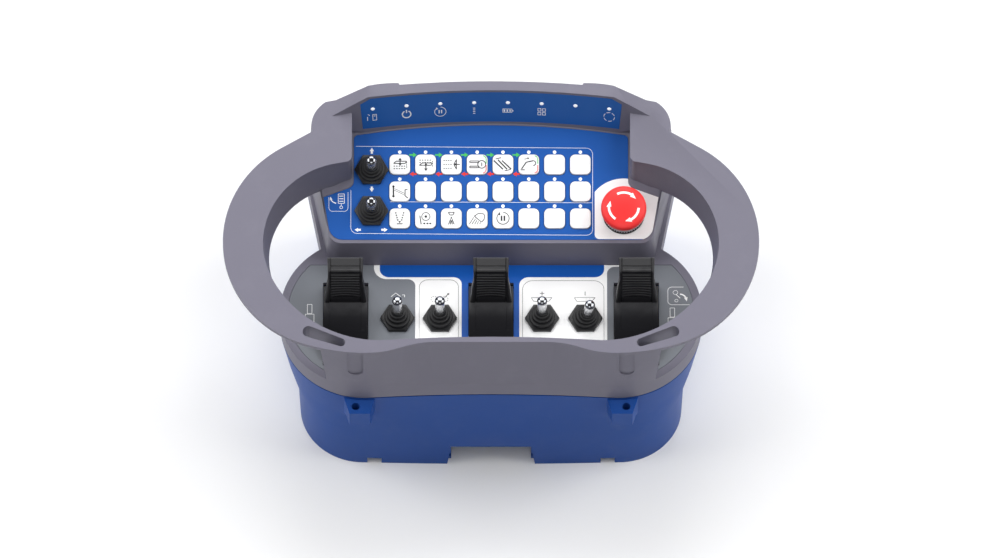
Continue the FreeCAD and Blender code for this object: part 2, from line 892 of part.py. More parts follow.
def ring_opening():
    """Opening of the ring with its leaning inner wall."""
    over = 1.0
    opening = loft([
        ring_inner_outline(over, -over * ring_slope()),
        ring_inner_outline(-ring_depth - over, (ring_depth + over) * ring_slope()),
    ])
    return placed(opening, ring_frame)


def front_wall_outline(path, depth, z):
    """Closed strip of one thickness behind a front path."""
    start, steps = path
    left = mirror_back(start, steps)
    end = steps[-1][:2]
    back_start = (end[0], end[1] + depth)
    shifted = [(x, y + depth) for x, y in [start] + [step[:2] for step in steps]]
    back = []
    for index in range(len(steps) - 1, -1, -1):
        step = steps[index]
        back.append(shifted[index] + ((step[2], step[3] + depth) if len(step) == 4 else ()))
    back_left = [(-start[0], start[1] + depth)]
    for step in steps:
        middle = (-step[2], step[3] + depth) if len(step) == 4 else ()
        back_left.append((-step[0], step[1] + depth) + middle)
    return outline(start, steps + [back_start] + back + back_left + [(-end[0], end[1])] + left, z)


def make_front_wall():
    """Wall from the front of the ring down to the rim."""
    start = (ring_dip_x, ring_dip_w)
    steps = s_steps(start, (ring_front_x, ring_front_w))
    center = (ring_front_x, ring_front_w + ring_front_radius)
    turn = math.degrees(math.asin((front_wall_top_half_width - ring_front_x) / ring_front_radius))
    steps.append(arc_step(center, ring_front_radius, -90, turn - 90))
    top = placed(front_wall_outline((start, steps), front_wall_thickness, -ring_edge / 2), ring_frame)
    marks = [ring_dip_x, (ring_dip_x + ring_front_x) / 2, ring_front_x, front_wall_foot_half_width]
    foot_steps = []
    for x0, x1 in zip(marks, marks[1:]):
        middle = (x0 + x1) / 2
        foot_steps.append((x1, front_y_at(x1), middle, front_y_at(middle)))
    foot_path = ((ring_dip_x, front_y_at(ring_dip_x)), foot_steps)
    foot = front_wall_outline(foot_path, front_wall_thickness, deck_z)
    return loft([foot, top])


def hood_face_y(z):
    """Depth of the middle of the inclined hood face at a height."""
    edge = panel_frame.multVec(Vector(0, keypad_length, 0))
    return edge.y + (z - edge.z) / math.tan(math.radians(hood_lean))


def hood_bow(x):
    """How far the bowed hood face comes forward beside its middle."""
    return hood_bow_radius - math.sqrt(hood_bow_radius ** 2 - x * x)


def hood_recess_outline(z, half):
    """Space in front of the hood face over a half width."""
    back = hood_face_y(z)
    side = back - hood_bow(half)
    steps = [(half, side), (-half, side, 0.0, back), (-half, ring_front_y)]
    return outline((half, ring_front_y), steps, z)


def arm_front_outline(z):
    """Space in front of the arms: their inner corners are round and their ends slant."""
    fall = math.degrees(math.atan(arm_slant))
    front = arm_front_y + (z - deck_z) * arm_lean
    center = (ring_arm_x + arm_corner, front + arm_corner / math.cos(math.radians(fall)))
    start = (ring_arm_x, center[1])
    bend = arc_step(center, arm_corner, 180, 270 - fall)
    far_x = rim_half_width
    steps = [bend, (far_x, bend[1] - arm_slant * (far_x - bend[0])), (far_x, -big)]
    return outline(start, steps + [(-far_x, -big)] + mirror_back(start, steps), z)


def window_outline(z, half_width, front, depth):
    """Bowed strip that lies in the hood face."""
    y = hood_face_y(z) + front
    side = y - hood_bow(half_width)
    start = (half_width, side)
    steps = [(half_width, side + depth), (-half_width, side + depth, 0.0, y + depth)]
    steps += [(-half_width, side), (half_width, side, 0.0, y)]
    return outline(start, steps, z)


def window_heights(gap):
    """Lower and upper height of the indicator window."""
    low = panel_frame.multVec(Vector(0, keypad_length, 0)).z + window_margin
    return low - gap, hood_top_z - window_margin + gap


def strap_slot():
    """Tapered upright slot through the ring for the carrying strap, on the right."""
    level = math.cos(math.radians(ring_tilt))
    outer = (strap_slot_outer_x, ring_front_y + strap_slot_outer_w * level)
    inner = (strap_slot_inner_x, ring_front_y + strap_slot_inner_w * level)
    along = angle_of(inner, outer)
    start = arc_point(outer, strap_slot_outer_radius, along - 90)
    steps = [arc_step(outer, strap_slot_outer_radius, along - 90, along + 90)]
    steps.append(arc_point(inner, strap_slot_inner_radius, along + 90))
    steps.append(arc_step(inner, strap_slot_inner_radius, along + 90, along + 270))
    low = ring_front_z - ring_depth - ring_edge
    return prism(outline(start, steps, low), big)


def window_corners(low, high, gap):
    """What is cut off the ends of the window: slanted sides and bevelled upper corners, on the right."""
    foot = window_foot_half_width + gap
    wide = window_half_width + gap
    far = wide + window_corner_width
    rise = window_corner_height
    ends = [(wide, high - rise), (wide - 2 * window_corner_width, high + rise)]
    ends += [(far, high + rise), (far, low)]
    upright = Placement(Vector(0, big, 0), Rotation(Vector(1, 0, 0), 90))
    return placed(prism(outline((foot, low), ends), big), upright)


def make_hood():
    """Hood and arms over the console, before the ring opening is cut."""
    hood = loft([console_outline(deck_z, 0.0), console_outline(hood_top_z, 0.0)])
    below = placed(box(-big, big, -big, big, -big, 0.0), panel_frame)
    above_ring = placed(box(-big, big, -big, big, 0.0, big), ring_frame)
    heights = (deck_z - 1, hood_top_z + 1)
    ahead = loft([arm_front_outline(z) for z in heights])
    recess = loft([hood_recess_outline(z, ring_arm_x) for z in heights])
    over_arms = loft([hood_recess_outline(z, rim_half_width) for z in heights]).common(above_ring)
    end = Placement(Vector(hood_end_x, 0, hood_top_z), Rotation(Vector(0, 1, 0), hood_end_slope))
    slope = placed(box(0, big, -big, big, 0, big), end).common(above_ring)
    return hood.cut([below, ahead, recess, over_arms] + both_sides(slope))


def make_guard_frame():
    low, high = window_heights(window_gap)
    half = window_half_width + window_gap
    pocket = loft([window_outline(z, half, -1.0, window_thickness + 1.0 + window_gap) for z in (low, high)])
    pocket = pocket.cut(both_sides(window_corners(low, high, window_gap)))
    frame = joined([make_ring(), make_front_wall(), make_hood()])
    cuts = [ring_opening(), pocket, below_panel_at_arms()] + both_sides(strap_slot())
    groove_top = ring_front_z - ring_edge
    groove_foot = groove_top - groove_height + groove_width / 2
    face_y = rim_front_y + groove_depth - 0.5
    for x in (-groove_x, groove_x):
        half_groove = groove_width / 2
        cuts.append(box(x - half_groove, x + half_groove, -big, face_y, groove_foot, groove_top))
        round_end = Part.makeCylinder(half_groove, big, Vector(x, face_y, groove_foot), Vector(0, -1, 0))
        cuts.append(round_end)
    return frame.cut(cuts)


def below_panel_at_arms():
    """Console shape kept free of the ring where the two meet."""
    console = loft([console_outline(rim_base_z, 0.0), console_outline(panel_z + big / 8, 0.0)])
    return console.cut(above_panel(0.0))


def make_indicator_window():
    low, high = window_heights(0.0)
    window = loft([window_outline(z, window_half_width, 0.0, window_thickness) for z in (low, high)])
    return window.cut(both_sides(window_corners(low, high, 0.0)))


def make_indicator_lights():
    low, high = window_heights(0.0)
    z = low + (high - low) * indicator_share
    lean = math.radians(hood_lean)
    lights = []
    for index in range(indicator_count):
        x = (index - (indicator_count - 1) / 2) * indicator_pitch
        turn = x / hood_bow_radius
        normal = Vector(-math.sin(turn) * math.sin(lean), -math.cos(turn) * math.sin(lean), math.cos(lean))
        seat = Vector(x, hood_face_y(z) - hood_bow(x), z) + normal * window_gap
        lights.append(Part.makeCylinder(indicator_radius, indicator_height, seat, normal))
    return Part.makeCompound(lights)


# Thumb paddles, drawn about their axle in the (Y, Z) plane

side_on = Rotation(Vector(1, 1, 1), 120)
case_inner = paddle_slot_half_width + case_gap
case_outer = case_inner + case_wall


def across(wire_start, steps, width):
    """Solid of a side view outline, centered over a width along X."""
    solid = prism(outline(wire_start, steps, -width / 2), width)
    return placed(solid, Placement(Vector(0, 0, 0), side_on))


def rod(radius, width):
    """Cylinder along X, centered."""
    return Part.makeCylinder(radius, width, Vector(-width / 2, 0, 0), Vector(1, 0, 0))


def make_blade():
    """Leaning thumb blade with a bevelled top, tapered sides and grip ribs."""
    root = drum_radius - drum_wall / 2
    front = arc_point((0, 0), root, 90 - blade_front_angle)
    back = arc_point((0, 0), root, 90 - blade_back_angle)
    shoulder = (blade_shoulder_y, blade_shoulder_z)
    steps = [shoulder, (blade_top_y, blade_top_z), (blade_back_y, blade_back_z), back]
    blade = across(front, steps, blade_base_width)
    half_base = blade_base_width / 2
    half_top = blade_top_width / 2
    outside = half_base + 5.0
    side = [(half_top, blade_top_z), (outside, blade_top_z), (outside, drum_radius)]
    wedge = prism(outline((half_base, drum_radius), side, -big), 2 * big)
    upright = Placement(Vector(0, 0, 0), Rotation(Vector(1, 0, 0), 90))
    cuts = both_sides(placed(wedge, upright))
    run = Vector(0, shoulder[0] - front[0], shoulder[1] - front[1])
    lean = math.degrees(math.atan2(-run.y, run.z))
    grip = blade_top_width - 2 * blade_rib_margin
    for index in range(blade_rib_count):
        drop = blade_rib_margin + index * blade_rib_pitch
        spot = Vector(0, shoulder[0], shoulder[1]) - run * (drop / run.Length)
        rib = box(-grip / 2, grip / 2, -1.0, blade_rib_depth, -blade_rib_width, 0)
        cuts.append(placed(rib, Placement(spot, Rotation(Vector(1, 0, 0), lean))))
    return blade.cut(cuts)


def make_paddle(x):
    """Drum cover with hub and blade, open below."""
    low = arc_point((0, 0), drum_radius, 90 - drum_reach)
    pie = [low, arc_step((0, 0), drum_radius, 90 - drum_reach, 90 + drum_reach)]
    drum = across((0, 0), pie, drum_width).fuse(rod(hub_radius, drum_width))
    room = rod(drum_radius - drum_wall, drum_width - 2 * drum_wall)
    drum = drum.cut(room.cut(rod(hub_radius, drum_width)))
    paddle = joined([drum, make_blade()]).cut(rod(axle_radius + axle_gap, 2 * drum_width))
    return moved(paddle, x, paddle_y, paddle_z)


def make_paddle_cases():
    cases = []
    y0 = paddle_y - case_half_length
    y1 = paddle_y + case_half_length
    low = paddle_z - case_drop
    for x in paddle_xs:
        outer = box(x - case_outer, x + case_outer, y0, y1, low - case_wall, deck_z - wall)
        room = box(x - case_inner, x + case_inner, y0 - 1, y1 + 1, low, deck_z)
        case = outer.cut([room, moved(rod(axle_radius, 3 * drum_width), x, paddle_y, paddle_z)])
        cases.append(case)
    return Part.makeCompound(cases)


def make_paddle_axles():
    axle = rod(axle_radius, 2 * case_outer)
    return Part.makeCompound([moved(axle, x, paddle_y, paddle_z) for x in paddle_xs])


def make_paddle_springs():
    inner = hub_radius + spring_gap
    sleeve = rod(inner + spring_wall, spring_length).cut(rod(inner, 2 * spring_length))
    return Part.makeCompound([moved(sleeve, x, paddle_y, paddle_z) for x in paddle_xs])


# Toggles

def make_toggle_nut():
    corner = nut_flats / 2 / math.cos(math.radians(30))
    corners = [arc_point((0, 0), corner, 60 * index) for index in range(6)]
    nut = prism(outline(corners[0], corners[1:]), nut_height)
    return nut.cut(cylinder(bushing_radius + boot_gap, -1, nut_height + 1))


def make_toggle_body():
    top = -wall - label_top
    half = switch_width / 2
    body = box(-half, half, -half, half, top - switch_depth, top)
    body = body.fuse(cylinder(bushing_radius, top, bushing_top))
    return body.cut(cylinder(bushing_bore, lever_pivot - 2 * lever_ball_radius, bushing_top + 1))


def make_toggle_boot(lean):
    """Rubber bellows on the nut: a flat flange and a stepped cone that leans with the lever."""
    bore = bushing_radius + boot_gap
    foot = nut_height
    flange_top = foot + boot_flange_height
    wide = boot_flange_radius
    flange = revolve([(bore, foot), (wide, foot), (wide, flange_top), (bore, flange_top)])
    neck = lever_neck_radius + boot_gap
    lip = neck + boot_top_wall
    low = flange_top - 0.4
    step = (boot_top - low) / 4
    first = boot_flange_radius - 1.0
    drop = (first - lip) / 3
    outer = [(first, low)]
    for index in range(3):
        z = low + (index + 0.8) * step
        outer.append((first - index * drop - 0.3, z))
        outer.append((first - (index + 1) * drop, z + 0.4))
    outer.append((lip, boot_top))
    inner = [(neck, boot_top), (neck, boot_top - step), (bore, low)]
    cone = placed(revolve(outer + inner), lean)
    return flange.fuse(cone)


def make_toggle_lever(lean):
    """Chrome bat lever on a ball: it widens from its neck in the boot to a low dome."""
    tip = lever_tip_radius
    stem = lever_stem_radius
    ball = lever_ball_radius
    neck = lever_neck_radius
    low = boot_top - 3.0
    side = [(0, lever_top), (tip * 0.7, lever_top - 0.3)]
    side += [(tip * 0.95, lever_top - 0.9), (tip, lever_top - 1.8)]
    side += [(neck, boot_top + 0.6), (neck, low), (stem, low - 1.0)]
    for angle in (50, 25, 0, -30, -60):
        side.append(arc_point((0, lever_pivot), ball, angle))
    side.append((0, lever_pivot - ball))
    return placed(revolve(side), lean)


# Keys and their board

def make_key(x, d):
    low = -wall - board_gap + key_travel + 0.1
    cap = prism(rounded_square(key_size, key_corner, low), key_rise - low)
    flange = prism(rounded_square(key_size + 2 * key_flange, key_corner, low), key_flange_height)
    return placed(moved(cap.fuse(flange), x, d), panel_frame)


def make_key_lights():
    top = label_top + 0.2
    return placed(Part.makeCompound(key_light_pins(key_light_radius, -wall, top)), panel_frame)


def make_keypad_board():
    x0, x1, d0, d1 = board_limits()
    top = -wall - board_gap
    return placed(box(x0, x1, d0, d1, top - board_thickness, top), panel_frame)


# Stop button

def make_stop_collar():
    bore = stop_stem_radius + stop_gap
    side = [(bore, -stop_barrel_depth), (stop_barrel_radius, -stop_barrel_depth)]
    side += [(stop_barrel_radius, label_top), (stop_collar_radius, label_top)]
    side += [(stop_collar_radius, stop_collar_height), (bore, stop_collar_height)]
    return placed(revolve(side), stop_frame)


def make_stop_plunger():
    seat = stop_head_under - stop_gap
    stem = cylinder(stop_stem_radius, -stop_plunger_depth, seat)
    return placed(stem.fuse(cylinder(stop_peg_radius, seat, stop_head_under + stop_peg_depth)), stop_frame)


def make_stop_head():
    bore = stop_peg_radius + stop_gap
    roof = stop_head_under + stop_peg_depth + stop_gap
    edge = stop_head_top - stop_dome
    side = [(bore, stop_head_under), (stop_head_radius - 1.2, stop_head_under)]
    side += [(stop_head_radius, stop_head_under + 1.2), (stop_head_radius, edge - 1.6)]
    side += [(stop_head_radius - 1.6, edge), (stop_head_radius * 0.55, stop_head_top - 0.5)]
    side += [(0, stop_head_top), (0, roof), (bore, roof)]
    return placed(revolve(side), stop_frame)


def make_stop_contact_block():
    half = stop_block_width / 2
    top = -stop_barrel_depth
    block = box(-half, half, -half, half, top - stop_block_depth, top)
    room = cylinder(stop_stem_radius + 0.5, -stop_plunger_depth - stop_travel - 1, top + 1)
    return placed(block.cut(room), stop_frame)


# Battery and electronics

def make_battery_pack():
    half = bay_half_width - battery_gap
    front = tub_base_front_y + battery_recess
    rear = bay_end_y - contact_depth - battery_gap
    pack = box(-half, half, front, rear, battery_floor_gap, bay_height - battery_gap)
    tongue = bay_half_width + tongue_depth
    reach = tongue_height / 2
    rails = box(-tongue, tongue, front, rear, tongue_z - reach, tongue_z + reach)
    pack = pack.fuse(rails).removeSplitter()
    return pack.cut(box(-half / 2, half / 2, front - 1, front + 5, bay_height * 0.3, bay_height * 0.75))


def make_battery_contacts():
    contacts = []
    half = contact_width / 2
    middle = bay_height / 2
    for x in (-contact_spacing / 2, contact_spacing / 2):
        front = bay_end_y - contact_depth
        contacts.append(box(x - half, x + half, front, bay_end_y, middle - half, middle + half))
    return Part.makeCompound(contacts)


def make_main_board():
    half = main_board_half_width
    top = main_board_z + board_thickness
    return box(-half, half, main_board_front_y, main_board_rear_y, main_board_z, top)


def make_radio_module():
    z = main_board_z + board_thickness
    x = radio_width / 2
    y = radio_length / 2
    return box(radio_x - x, radio_x + x, radio_y - y, radio_y + y, z, z + radio_height)


def make_antenna():
    z = main_board_z + board_thickness + radio_height + antenna_radius
    return moved(rod(antenna_radius, antenna_length), radio_x, radio_y, z)


# Assembly

def make_nodes():
    """Every piece of the transmitter by name."""
    nodes = {
        "lower_housing": make_lower_housing(),
        "housing_seal": make_housing_seal(),
        "housing_screws": make_housing_screws(),
        "upper_housing": make_upper_housing(),
        "guard_frame": make_guard_frame(),
        "deck_overlay": make_deck_overlay(),
        "keypad_overlay": make_keypad_overlay(),
        "indicator_window": make_indicator_window(),
        "indicator_lights": make_indicator_lights(),
        "key_lights": make_key_lights(),
        "keypad_board": make_keypad_board(),
        "main_board": make_main_board(),
        "radio_module": make_radio_module(),
        "antenna": make_antenna(),
        "paddle_cases": make_paddle_cases(),
        "paddle_axles": make_paddle_axles(),
        "paddle_springs": make_paddle_springs(),
        "stop_collar": make_stop_collar(),
        "stop_plunger": make_stop_plunger(),
        "stop_head": make_stop_head(),
        "stop_contact_block": make_stop_contact_block(),
        "battery_pack": make_battery_pack(),
        "battery_contacts": make_battery_contacts(),
    }
    for name, x in zip(("left", "center", "right"), paddle_xs):
        nodes["paddle_" + name] = make_paddle(x)
    frames = toggle_frames()
    nodes["toggle_nuts"] = Part.makeCompound([placed(make_toggle_nut(), frame) for frame in frames])
    nodes["toggle_bodies"] = Part.makeCompound([placed(make_toggle_body(), frame) for frame in frames])
    boots = []
    for index, frame in enumerate(frames):
        lean = toggle_lean(index)
        boots.append(placed(make_toggle_boot(lean), frame))
        nodes["toggle_lever_%d" % (index + 1)] = placed(make_toggle_lever(lean), frame)
    nodes["toggle_boots"] = Part.makeCompound(boots)
    for row, column, x, d in key_places():
        nodes["key_r%d_c%d" % (row, column)] = make_key(x, d)
    return nodes


os.makedirs("parts", exist_ok=True)
for name, shape in make_nodes().items():
    shape.exportStep("parts/%s.step" % name)
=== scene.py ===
import json
from itertools import product
from math import atan2, copysign, cos, pi, radians, sin, sqrt, tan

import bmesh
import bpy
from bpy.props import FloatProperty, FloatVectorProperty, PointerProperty
from mathutils import Matrix, Vector


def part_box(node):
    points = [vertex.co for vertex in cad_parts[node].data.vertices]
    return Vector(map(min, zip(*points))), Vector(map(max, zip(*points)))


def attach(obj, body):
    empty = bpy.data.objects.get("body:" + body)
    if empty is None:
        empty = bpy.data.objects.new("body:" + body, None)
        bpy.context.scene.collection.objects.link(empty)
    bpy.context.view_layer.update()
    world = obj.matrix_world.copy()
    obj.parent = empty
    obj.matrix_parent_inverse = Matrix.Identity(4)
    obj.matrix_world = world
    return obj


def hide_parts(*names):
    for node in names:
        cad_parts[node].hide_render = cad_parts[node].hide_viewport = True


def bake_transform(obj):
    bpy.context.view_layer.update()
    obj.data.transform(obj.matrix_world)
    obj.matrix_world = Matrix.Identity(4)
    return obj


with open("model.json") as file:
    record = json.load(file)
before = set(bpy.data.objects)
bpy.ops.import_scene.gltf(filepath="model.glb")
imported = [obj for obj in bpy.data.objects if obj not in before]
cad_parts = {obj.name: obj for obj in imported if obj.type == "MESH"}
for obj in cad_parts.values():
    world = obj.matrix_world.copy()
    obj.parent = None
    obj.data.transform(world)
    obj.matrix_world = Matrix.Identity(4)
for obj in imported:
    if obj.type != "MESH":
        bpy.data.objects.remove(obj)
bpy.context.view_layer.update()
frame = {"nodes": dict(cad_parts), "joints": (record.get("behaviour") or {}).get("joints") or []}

bl_info = {
    "name": "Machine remote control",
    "version": (1, 0, 0),
    "blender": (4, 5, 0),
    "location": "3D View > Sidebar > Remote",
    "description": "Builds the looks of a handheld machine remote control around its packed solids",
    "category": "Object",
}

MM = 0.001

# Sizes on the part, in millimetres
LABEL_GAP = 0.3  # round the keypad label
LABEL_THICKNESS = 0.5
HEAD_UNDER = 8.9  # from the keypad to the underside of the stop head
PIVOT_DEPTH = 1.0  # of a lever in its bushing
KEY_FIRST = (-58.1, 14.1)  # left key of the near row
KEY_PITCH = (16.43, 17.8)
KEY_HALF = 6.6
KEY_HEIGHT = 5.0
KEY_TOP = 1.0
KEY_RING = 8.35  # from a key to the ring round its light
NUT_FLATS = 19.0
NUT_HEIGHT = 2.2
DRUM_RADIUS = 34.0
DRUM_HALF = 14.15
DRUM_ROUNDING = 0.6
HUB_RADIUS = 6.5
GRIP_HALF = 9.7
GRIP_START = 4.9
RIB_PITCH = 2.3
WINDOW_THICKNESS = 1.5
LIGHT_PITCH = 21.5
SYMBOL_DROP = 7.0

# Sizes on the part, in metres, radians and shares
HOOD_LEAN = radians(76.0)
HOOD_BOW = 0.6  # radius
LIGHT_SHARE = 0.65  # height of the lights in their strip

DECK_TOGGLES = 4
LEANING_TOGGLE = 4
TOGGLES = 6
KEY_ROWS = 3
KEY_COLUMNS = 8
EDGED_KEYS = ((1, 4), (1, 6))
STRIP_LIGHTS = 8

# Drawing: angles in degrees, pitch of the grain in waves per metre
SHARP_ANGLE = 35.0
FULL_TURN = 360
ARC_STEP = 7
BEND_STEPS = 6
DASH_SHARE = 0.55
HEAD_WIDTH = 1.25
GRAIN_PITCH = 1500.0
FILM_PITCH = 2600.0
ZONE_INPUTS = ("Middle X", "Middle Y", "Half Width", "Half Depth", "Corner")


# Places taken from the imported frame

def joint(name):
    """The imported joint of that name."""
    return next(j for j in frame["joints"] if j["name"] == name)


def panel_tilt():
    """Angle of the keypad over the deck, from the way that its keys go in."""
    axis = joint("key_r1_c1_press")["axis"]
    return atan2(axis[1], -axis[2])


def panel_place():
    """From millimetres on the keypad label to the shared frame."""
    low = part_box("keypad_overlay")[0]
    turn = Matrix.Rotation(panel_tilt(), 4, "X")
    gap = turn @ Vector((0, LABEL_GAP * MM, 0))
    sunk = gap - turn @ Vector((0, 0, LABEL_THICKNESS * MM))
    origin = Vector((0, low.y - gap.y, low.z - sunk.z))
    return Matrix.Translation(origin) @ turn @ Matrix.Scale(MM, 4)


def toggle_place(number):
    """From millimetres on a toggle's bushing to the shared frame."""
    turn = Matrix.Rotation(panel_tilt() if number > DECK_TOGGLES else 0.0, 4, "X")
    seat = Vector(joint(f"toggle_{number}_throw")["pos_m"]) + turn @ Vector((0, 0, PIVOT_DEPTH * MM))
    return Matrix.Translation(seat) @ turn @ Matrix.Scale(MM, 4)


def stop_place():
    """From millimetres about the stop button to the shared frame."""
    twist = joint("stop_twist")
    seat = Vector(twist["pos_m"]) - Vector(twist["axis"]) * HEAD_UNDER * MM
    return Matrix.Translation(seat) @ Matrix.Rotation(panel_tilt(), 4, "X") @ Matrix.Scale(MM, 4)


def strip_place(x, rise):
    """From millimetres about a spot over or under a light of the bowed strip to the shared frame."""
    low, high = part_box("indicator_window")
    z = low.z + (high.z - low.z) * LIGHT_SHARE + rise * MM
    y = high.y - WINDOW_THICKNESS * MM - (high.z - z) / tan(HOOD_LEAN)
    y -= HOOD_BOW - sqrt(HOOD_BOW ** 2 - (x * MM) ** 2)
    turn = Matrix.Rotation(-x * MM / HOOD_BOW, 4, "Z") @ Matrix.Rotation(HOOD_LEAN, 4, "X")
    return Matrix.Translation((x * MM, y, z)) @ turn @ Matrix.Scale(MM, 4)


# Settings

def paint(code):
    """Linear colour of a screen colour."""
    parts = [int(code[i:i + 2], 16) / 255 for i in (0, 2, 4)]
    return tuple(c / 12.92 if c <= 0.04045 else ((c + 0.055) / 1.055) ** 2.4 for c in parts)


def colour(name, description, code):
    return FloatVectorProperty(name=name, description=description, default=paint(code), subtype="COLOR", min=0, max=1)


def length(name, description, default):
    return FloatProperty(name=name, description=description, default=default * MM, min=0, unit="LENGTH", precision=5)


class RemoteColours(bpy.types.PropertyGroup):
    gray: colour("Housing gray", "Rim, console, ring and hood", "73717f")
    tub: colour("Tub blue", "Lower housing", "1d4a96")
    label: colour("Keypad blue", "Film on the keypad", "255aaa")
    deck_blue: colour("Deck blue", "Middle of the deck film", "1856ae")
    deck_gray: colour("Deck gray", "Outer zones of the deck film", "787c83")
    window: colour("Window blue", "Strip over the indicator lights", "2a63b0")
    white: colour("Print white", "White lines and patches of the films", "fbfbfb")
    dark: colour("Print dark", "Dark lines of the deck and key symbols", "1a1a1e")
    green: colour("Print green", "Upper arrows and edges of the keys", "4fc45a")
    red: colour("Print red", "Lower arrows and edges of the keys", "e2382f")
    key: colour("Key white", "Key caps", "fbfbfb")
    black: colour("Black plastic", "Paddles, nuts, base ring and inner parts", "18181b")
    # Painted highlight: lighter black at the rear of the drum covers and the top of the blades, where the lamps'
    # sheen shows
    rubbed: colour("Painted sheen black", "Rear of the drum covers and top of the blades", "3e3e40")
    rubber: colour("Black rubber", "Boots and seal", "1a1a1c")
    stop: colour("Stop red", "Mushroom head", "ee3838")
    collar: colour("Collar gray", "Collar under the stop head", "c9cacd")


class RemoteSizes(bpy.types.PropertyGroup):
    ink: length("Ink thickness", "Height of a printed mark over its film", 0.05)
    edge: length("Edge rounding", "Rounding of the moulded edges", 0.8)


# Finishes

def shader_group(name, inputs, outputs):
    """Empty shader node group with named sockets, the values given to it and its output node."""
    tree = bpy.data.node_groups.new(name, "ShaderNodeTree")
    for way, labels in (("INPUT", inputs), ("OUTPUT", outputs)):
        for label in labels:
            kind = {"Colour": "Color", "Place": "Vector"}.get(label, "Float")
            tree.interface.new_socket(name=label, in_out=way, socket_type="NodeSocket" + kind)
    return tree, tree.nodes.new("NodeGroupInput").outputs, tree.nodes.new("NodeGroupOutput")


def feed(tree, target, inputs):
    """Set sockets of a node, each to a constant or by a link from another socket."""
    for key, value in inputs.items():
        if isinstance(value, bpy.types.NodeSocket):
            tree.links.new(value, target.inputs[key])
        else:
            target.inputs[key].default_value = value


def node(tree, kind, inputs=None, **properties):
    """New node with its properties and then its sockets set."""
    made = tree.nodes.new("ShaderNode" + kind)
    for key, value in properties.items():
        setattr(made, key, value)
    feed(tree, made, inputs or {})
    return made


def calc(tree, operation, *values):
    """Result of one calculation."""
    return node(tree, "Math", dict(enumerate(values)), operation=operation).outputs[0]


def noise(tree, place, scale, detail, roughness=0.5):
    """Cloudy values over a place."""
    inputs = {"Vector": place, "Scale": scale, "Detail": detail, "Roughness": roughness}
    return node(tree, "TexNoise", inputs).outputs[0]


def ramp(tree, value, low, high, **properties):
    """Zero to one between two values."""
    inputs = {"Value": value, "From Min": low, "From Max": high}
    return node(tree, "MapRange", inputs, **properties).outputs["Result"]


def mixed(tree, share, first, second):
    """Colour between two colours."""
    first, second = (c if isinstance(c, bpy.types.NodeSocket) else (*c[:3], 1.0) for c in (first, second))
    return node(tree, "Mix", {0: share, 6: first, 7: second}, data_type="RGBA").outputs[2]


def group_node(tree, build, inputs):
    """Node of a shared group, which is built when it is first used."""
    name = build.__name__
    return node(tree, "Group", inputs, node_tree=bpy.data.node_groups.get(name) or build(name))


def moulded_grain(name):
    """Group: the fine spark-eroded skin of a moulding, and its slow changes of shade."""
    inputs = ("Colour", "Roughness", "Mottle", "Pitch")
    tree, given, out = shader_group(name, inputs, ("Colour", "Roughness", "Height"))
    place = node(tree, "TexCoord").outputs["Object"]
    skin = noise(tree, place, given["Pitch"], 2.0)
    slow, fine = (calc(tree, "MULTIPLY", calc(tree, "SUBTRACT", cloud, 0.5), given["Mottle"])
                  for cloud in (noise(tree, place, 38.0, 4.0), skin))
    shade = calc(tree, "ADD", calc(tree, "ADD", slow, fine), 1.0)
    scaled = node(tree, "VectorMath", {"Vector": given["Colour"], "Scale": shade}, operation="SCALE")
    rough = calc(tree, "ADD", given["Roughness"], calc(tree, "MULTIPLY", slow, 1.5))
    feed(tree, out, {"Colour": scaled.outputs["Vector"], "Roughness": rough, "Height": skin})
    return tree


def handling_wear(name):
    """Group: places worn smooth and hairline scratches that hands leave on a moulding."""
    tree, given, out = shader_group(name, ("Colour", "Roughness", "Amount"), ("Colour", "Roughness"))
    place = node(tree, "TexCoord").outputs["Object"]
    patch = ramp(tree, noise(tree, place, 55.0, 6.0, 0.65), 0.52, 0.75)
    stretch = node(tree, "Mapping", {"Vector": place, "Rotation": (0.3, 0.2, 0.6), "Scale": (900.0, 60.0, 60.0)})
    scratch = ramp(tree, noise(tree, stretch.outputs["Vector"], 1.0, 1.0), 0.7, 0.78)
    mask = calc(tree, "MULTIPLY", patch, given["Amount"])
    both = calc(tree, "ADD", mask, calc(tree, "MULTIPLY", scratch, mask))
    worn = mixed(tree, both, given["Colour"], (0.75, 0.75, 0.78))
    smooth = calc(tree, "SUBTRACT", given["Roughness"], calc(tree, "MULTIPLY", mask, 0.6))
    feed(tree, out, {"Colour": worn, "Roughness": smooth})
    return tree


def new_finish(name, **sockets):
    """New material and its main shader, with constant values on the shader's own sockets."""
    made = bpy.data.materials.new(name)
    made.use_nodes = True
    shader = made.node_tree.nodes["Principled BSDF"]
    for key, value in sockets.items():
        shader.inputs[key.replace("_", " ").title().replace("Ior", "IOR")].default_value = value
    return made, made.node_tree, shader


def dress(tree, shader, skin, grain, relief, depth=0.1):
    """Colour and roughness of a skin and the relief of its grain on the main shader."""
    bump = node(tree, "Bump", {"Height": grain.outputs["Height"], "Strength": relief, "Distance": depth * MM})
    feed(tree, shader, {"Base Color": skin.outputs["Colour"], "Roughness": skin.outputs["Roughness"],
                        "Normal": bump.outputs["Normal"]})


def moulded(name, tint, roughness=0.5, mottle=0.08, pitch=GRAIN_PITCH, relief=0.12, wear=0.0, **sockets):
    """Moulded plastic with its grain, and wear where hands handle it."""
    name += "_finish"
    if name in bpy.data.materials:
        return bpy.data.materials[name]
    made, tree, shader = new_finish(name, **sockets)
    inputs = {"Colour": (*tint, 1.0), "Roughness": roughness, "Mottle": mottle, "Pitch": pitch}
    grain = skin = group_node(tree, moulded_grain, inputs)
    if wear:
        inputs = {"Colour": grain.outputs["Colour"], "Roughness": grain.outputs["Roughness"], "Amount": wear}
        skin = group_node(tree, handling_wear, inputs)
    dress(tree, shader, skin, grain, relief)
    return made


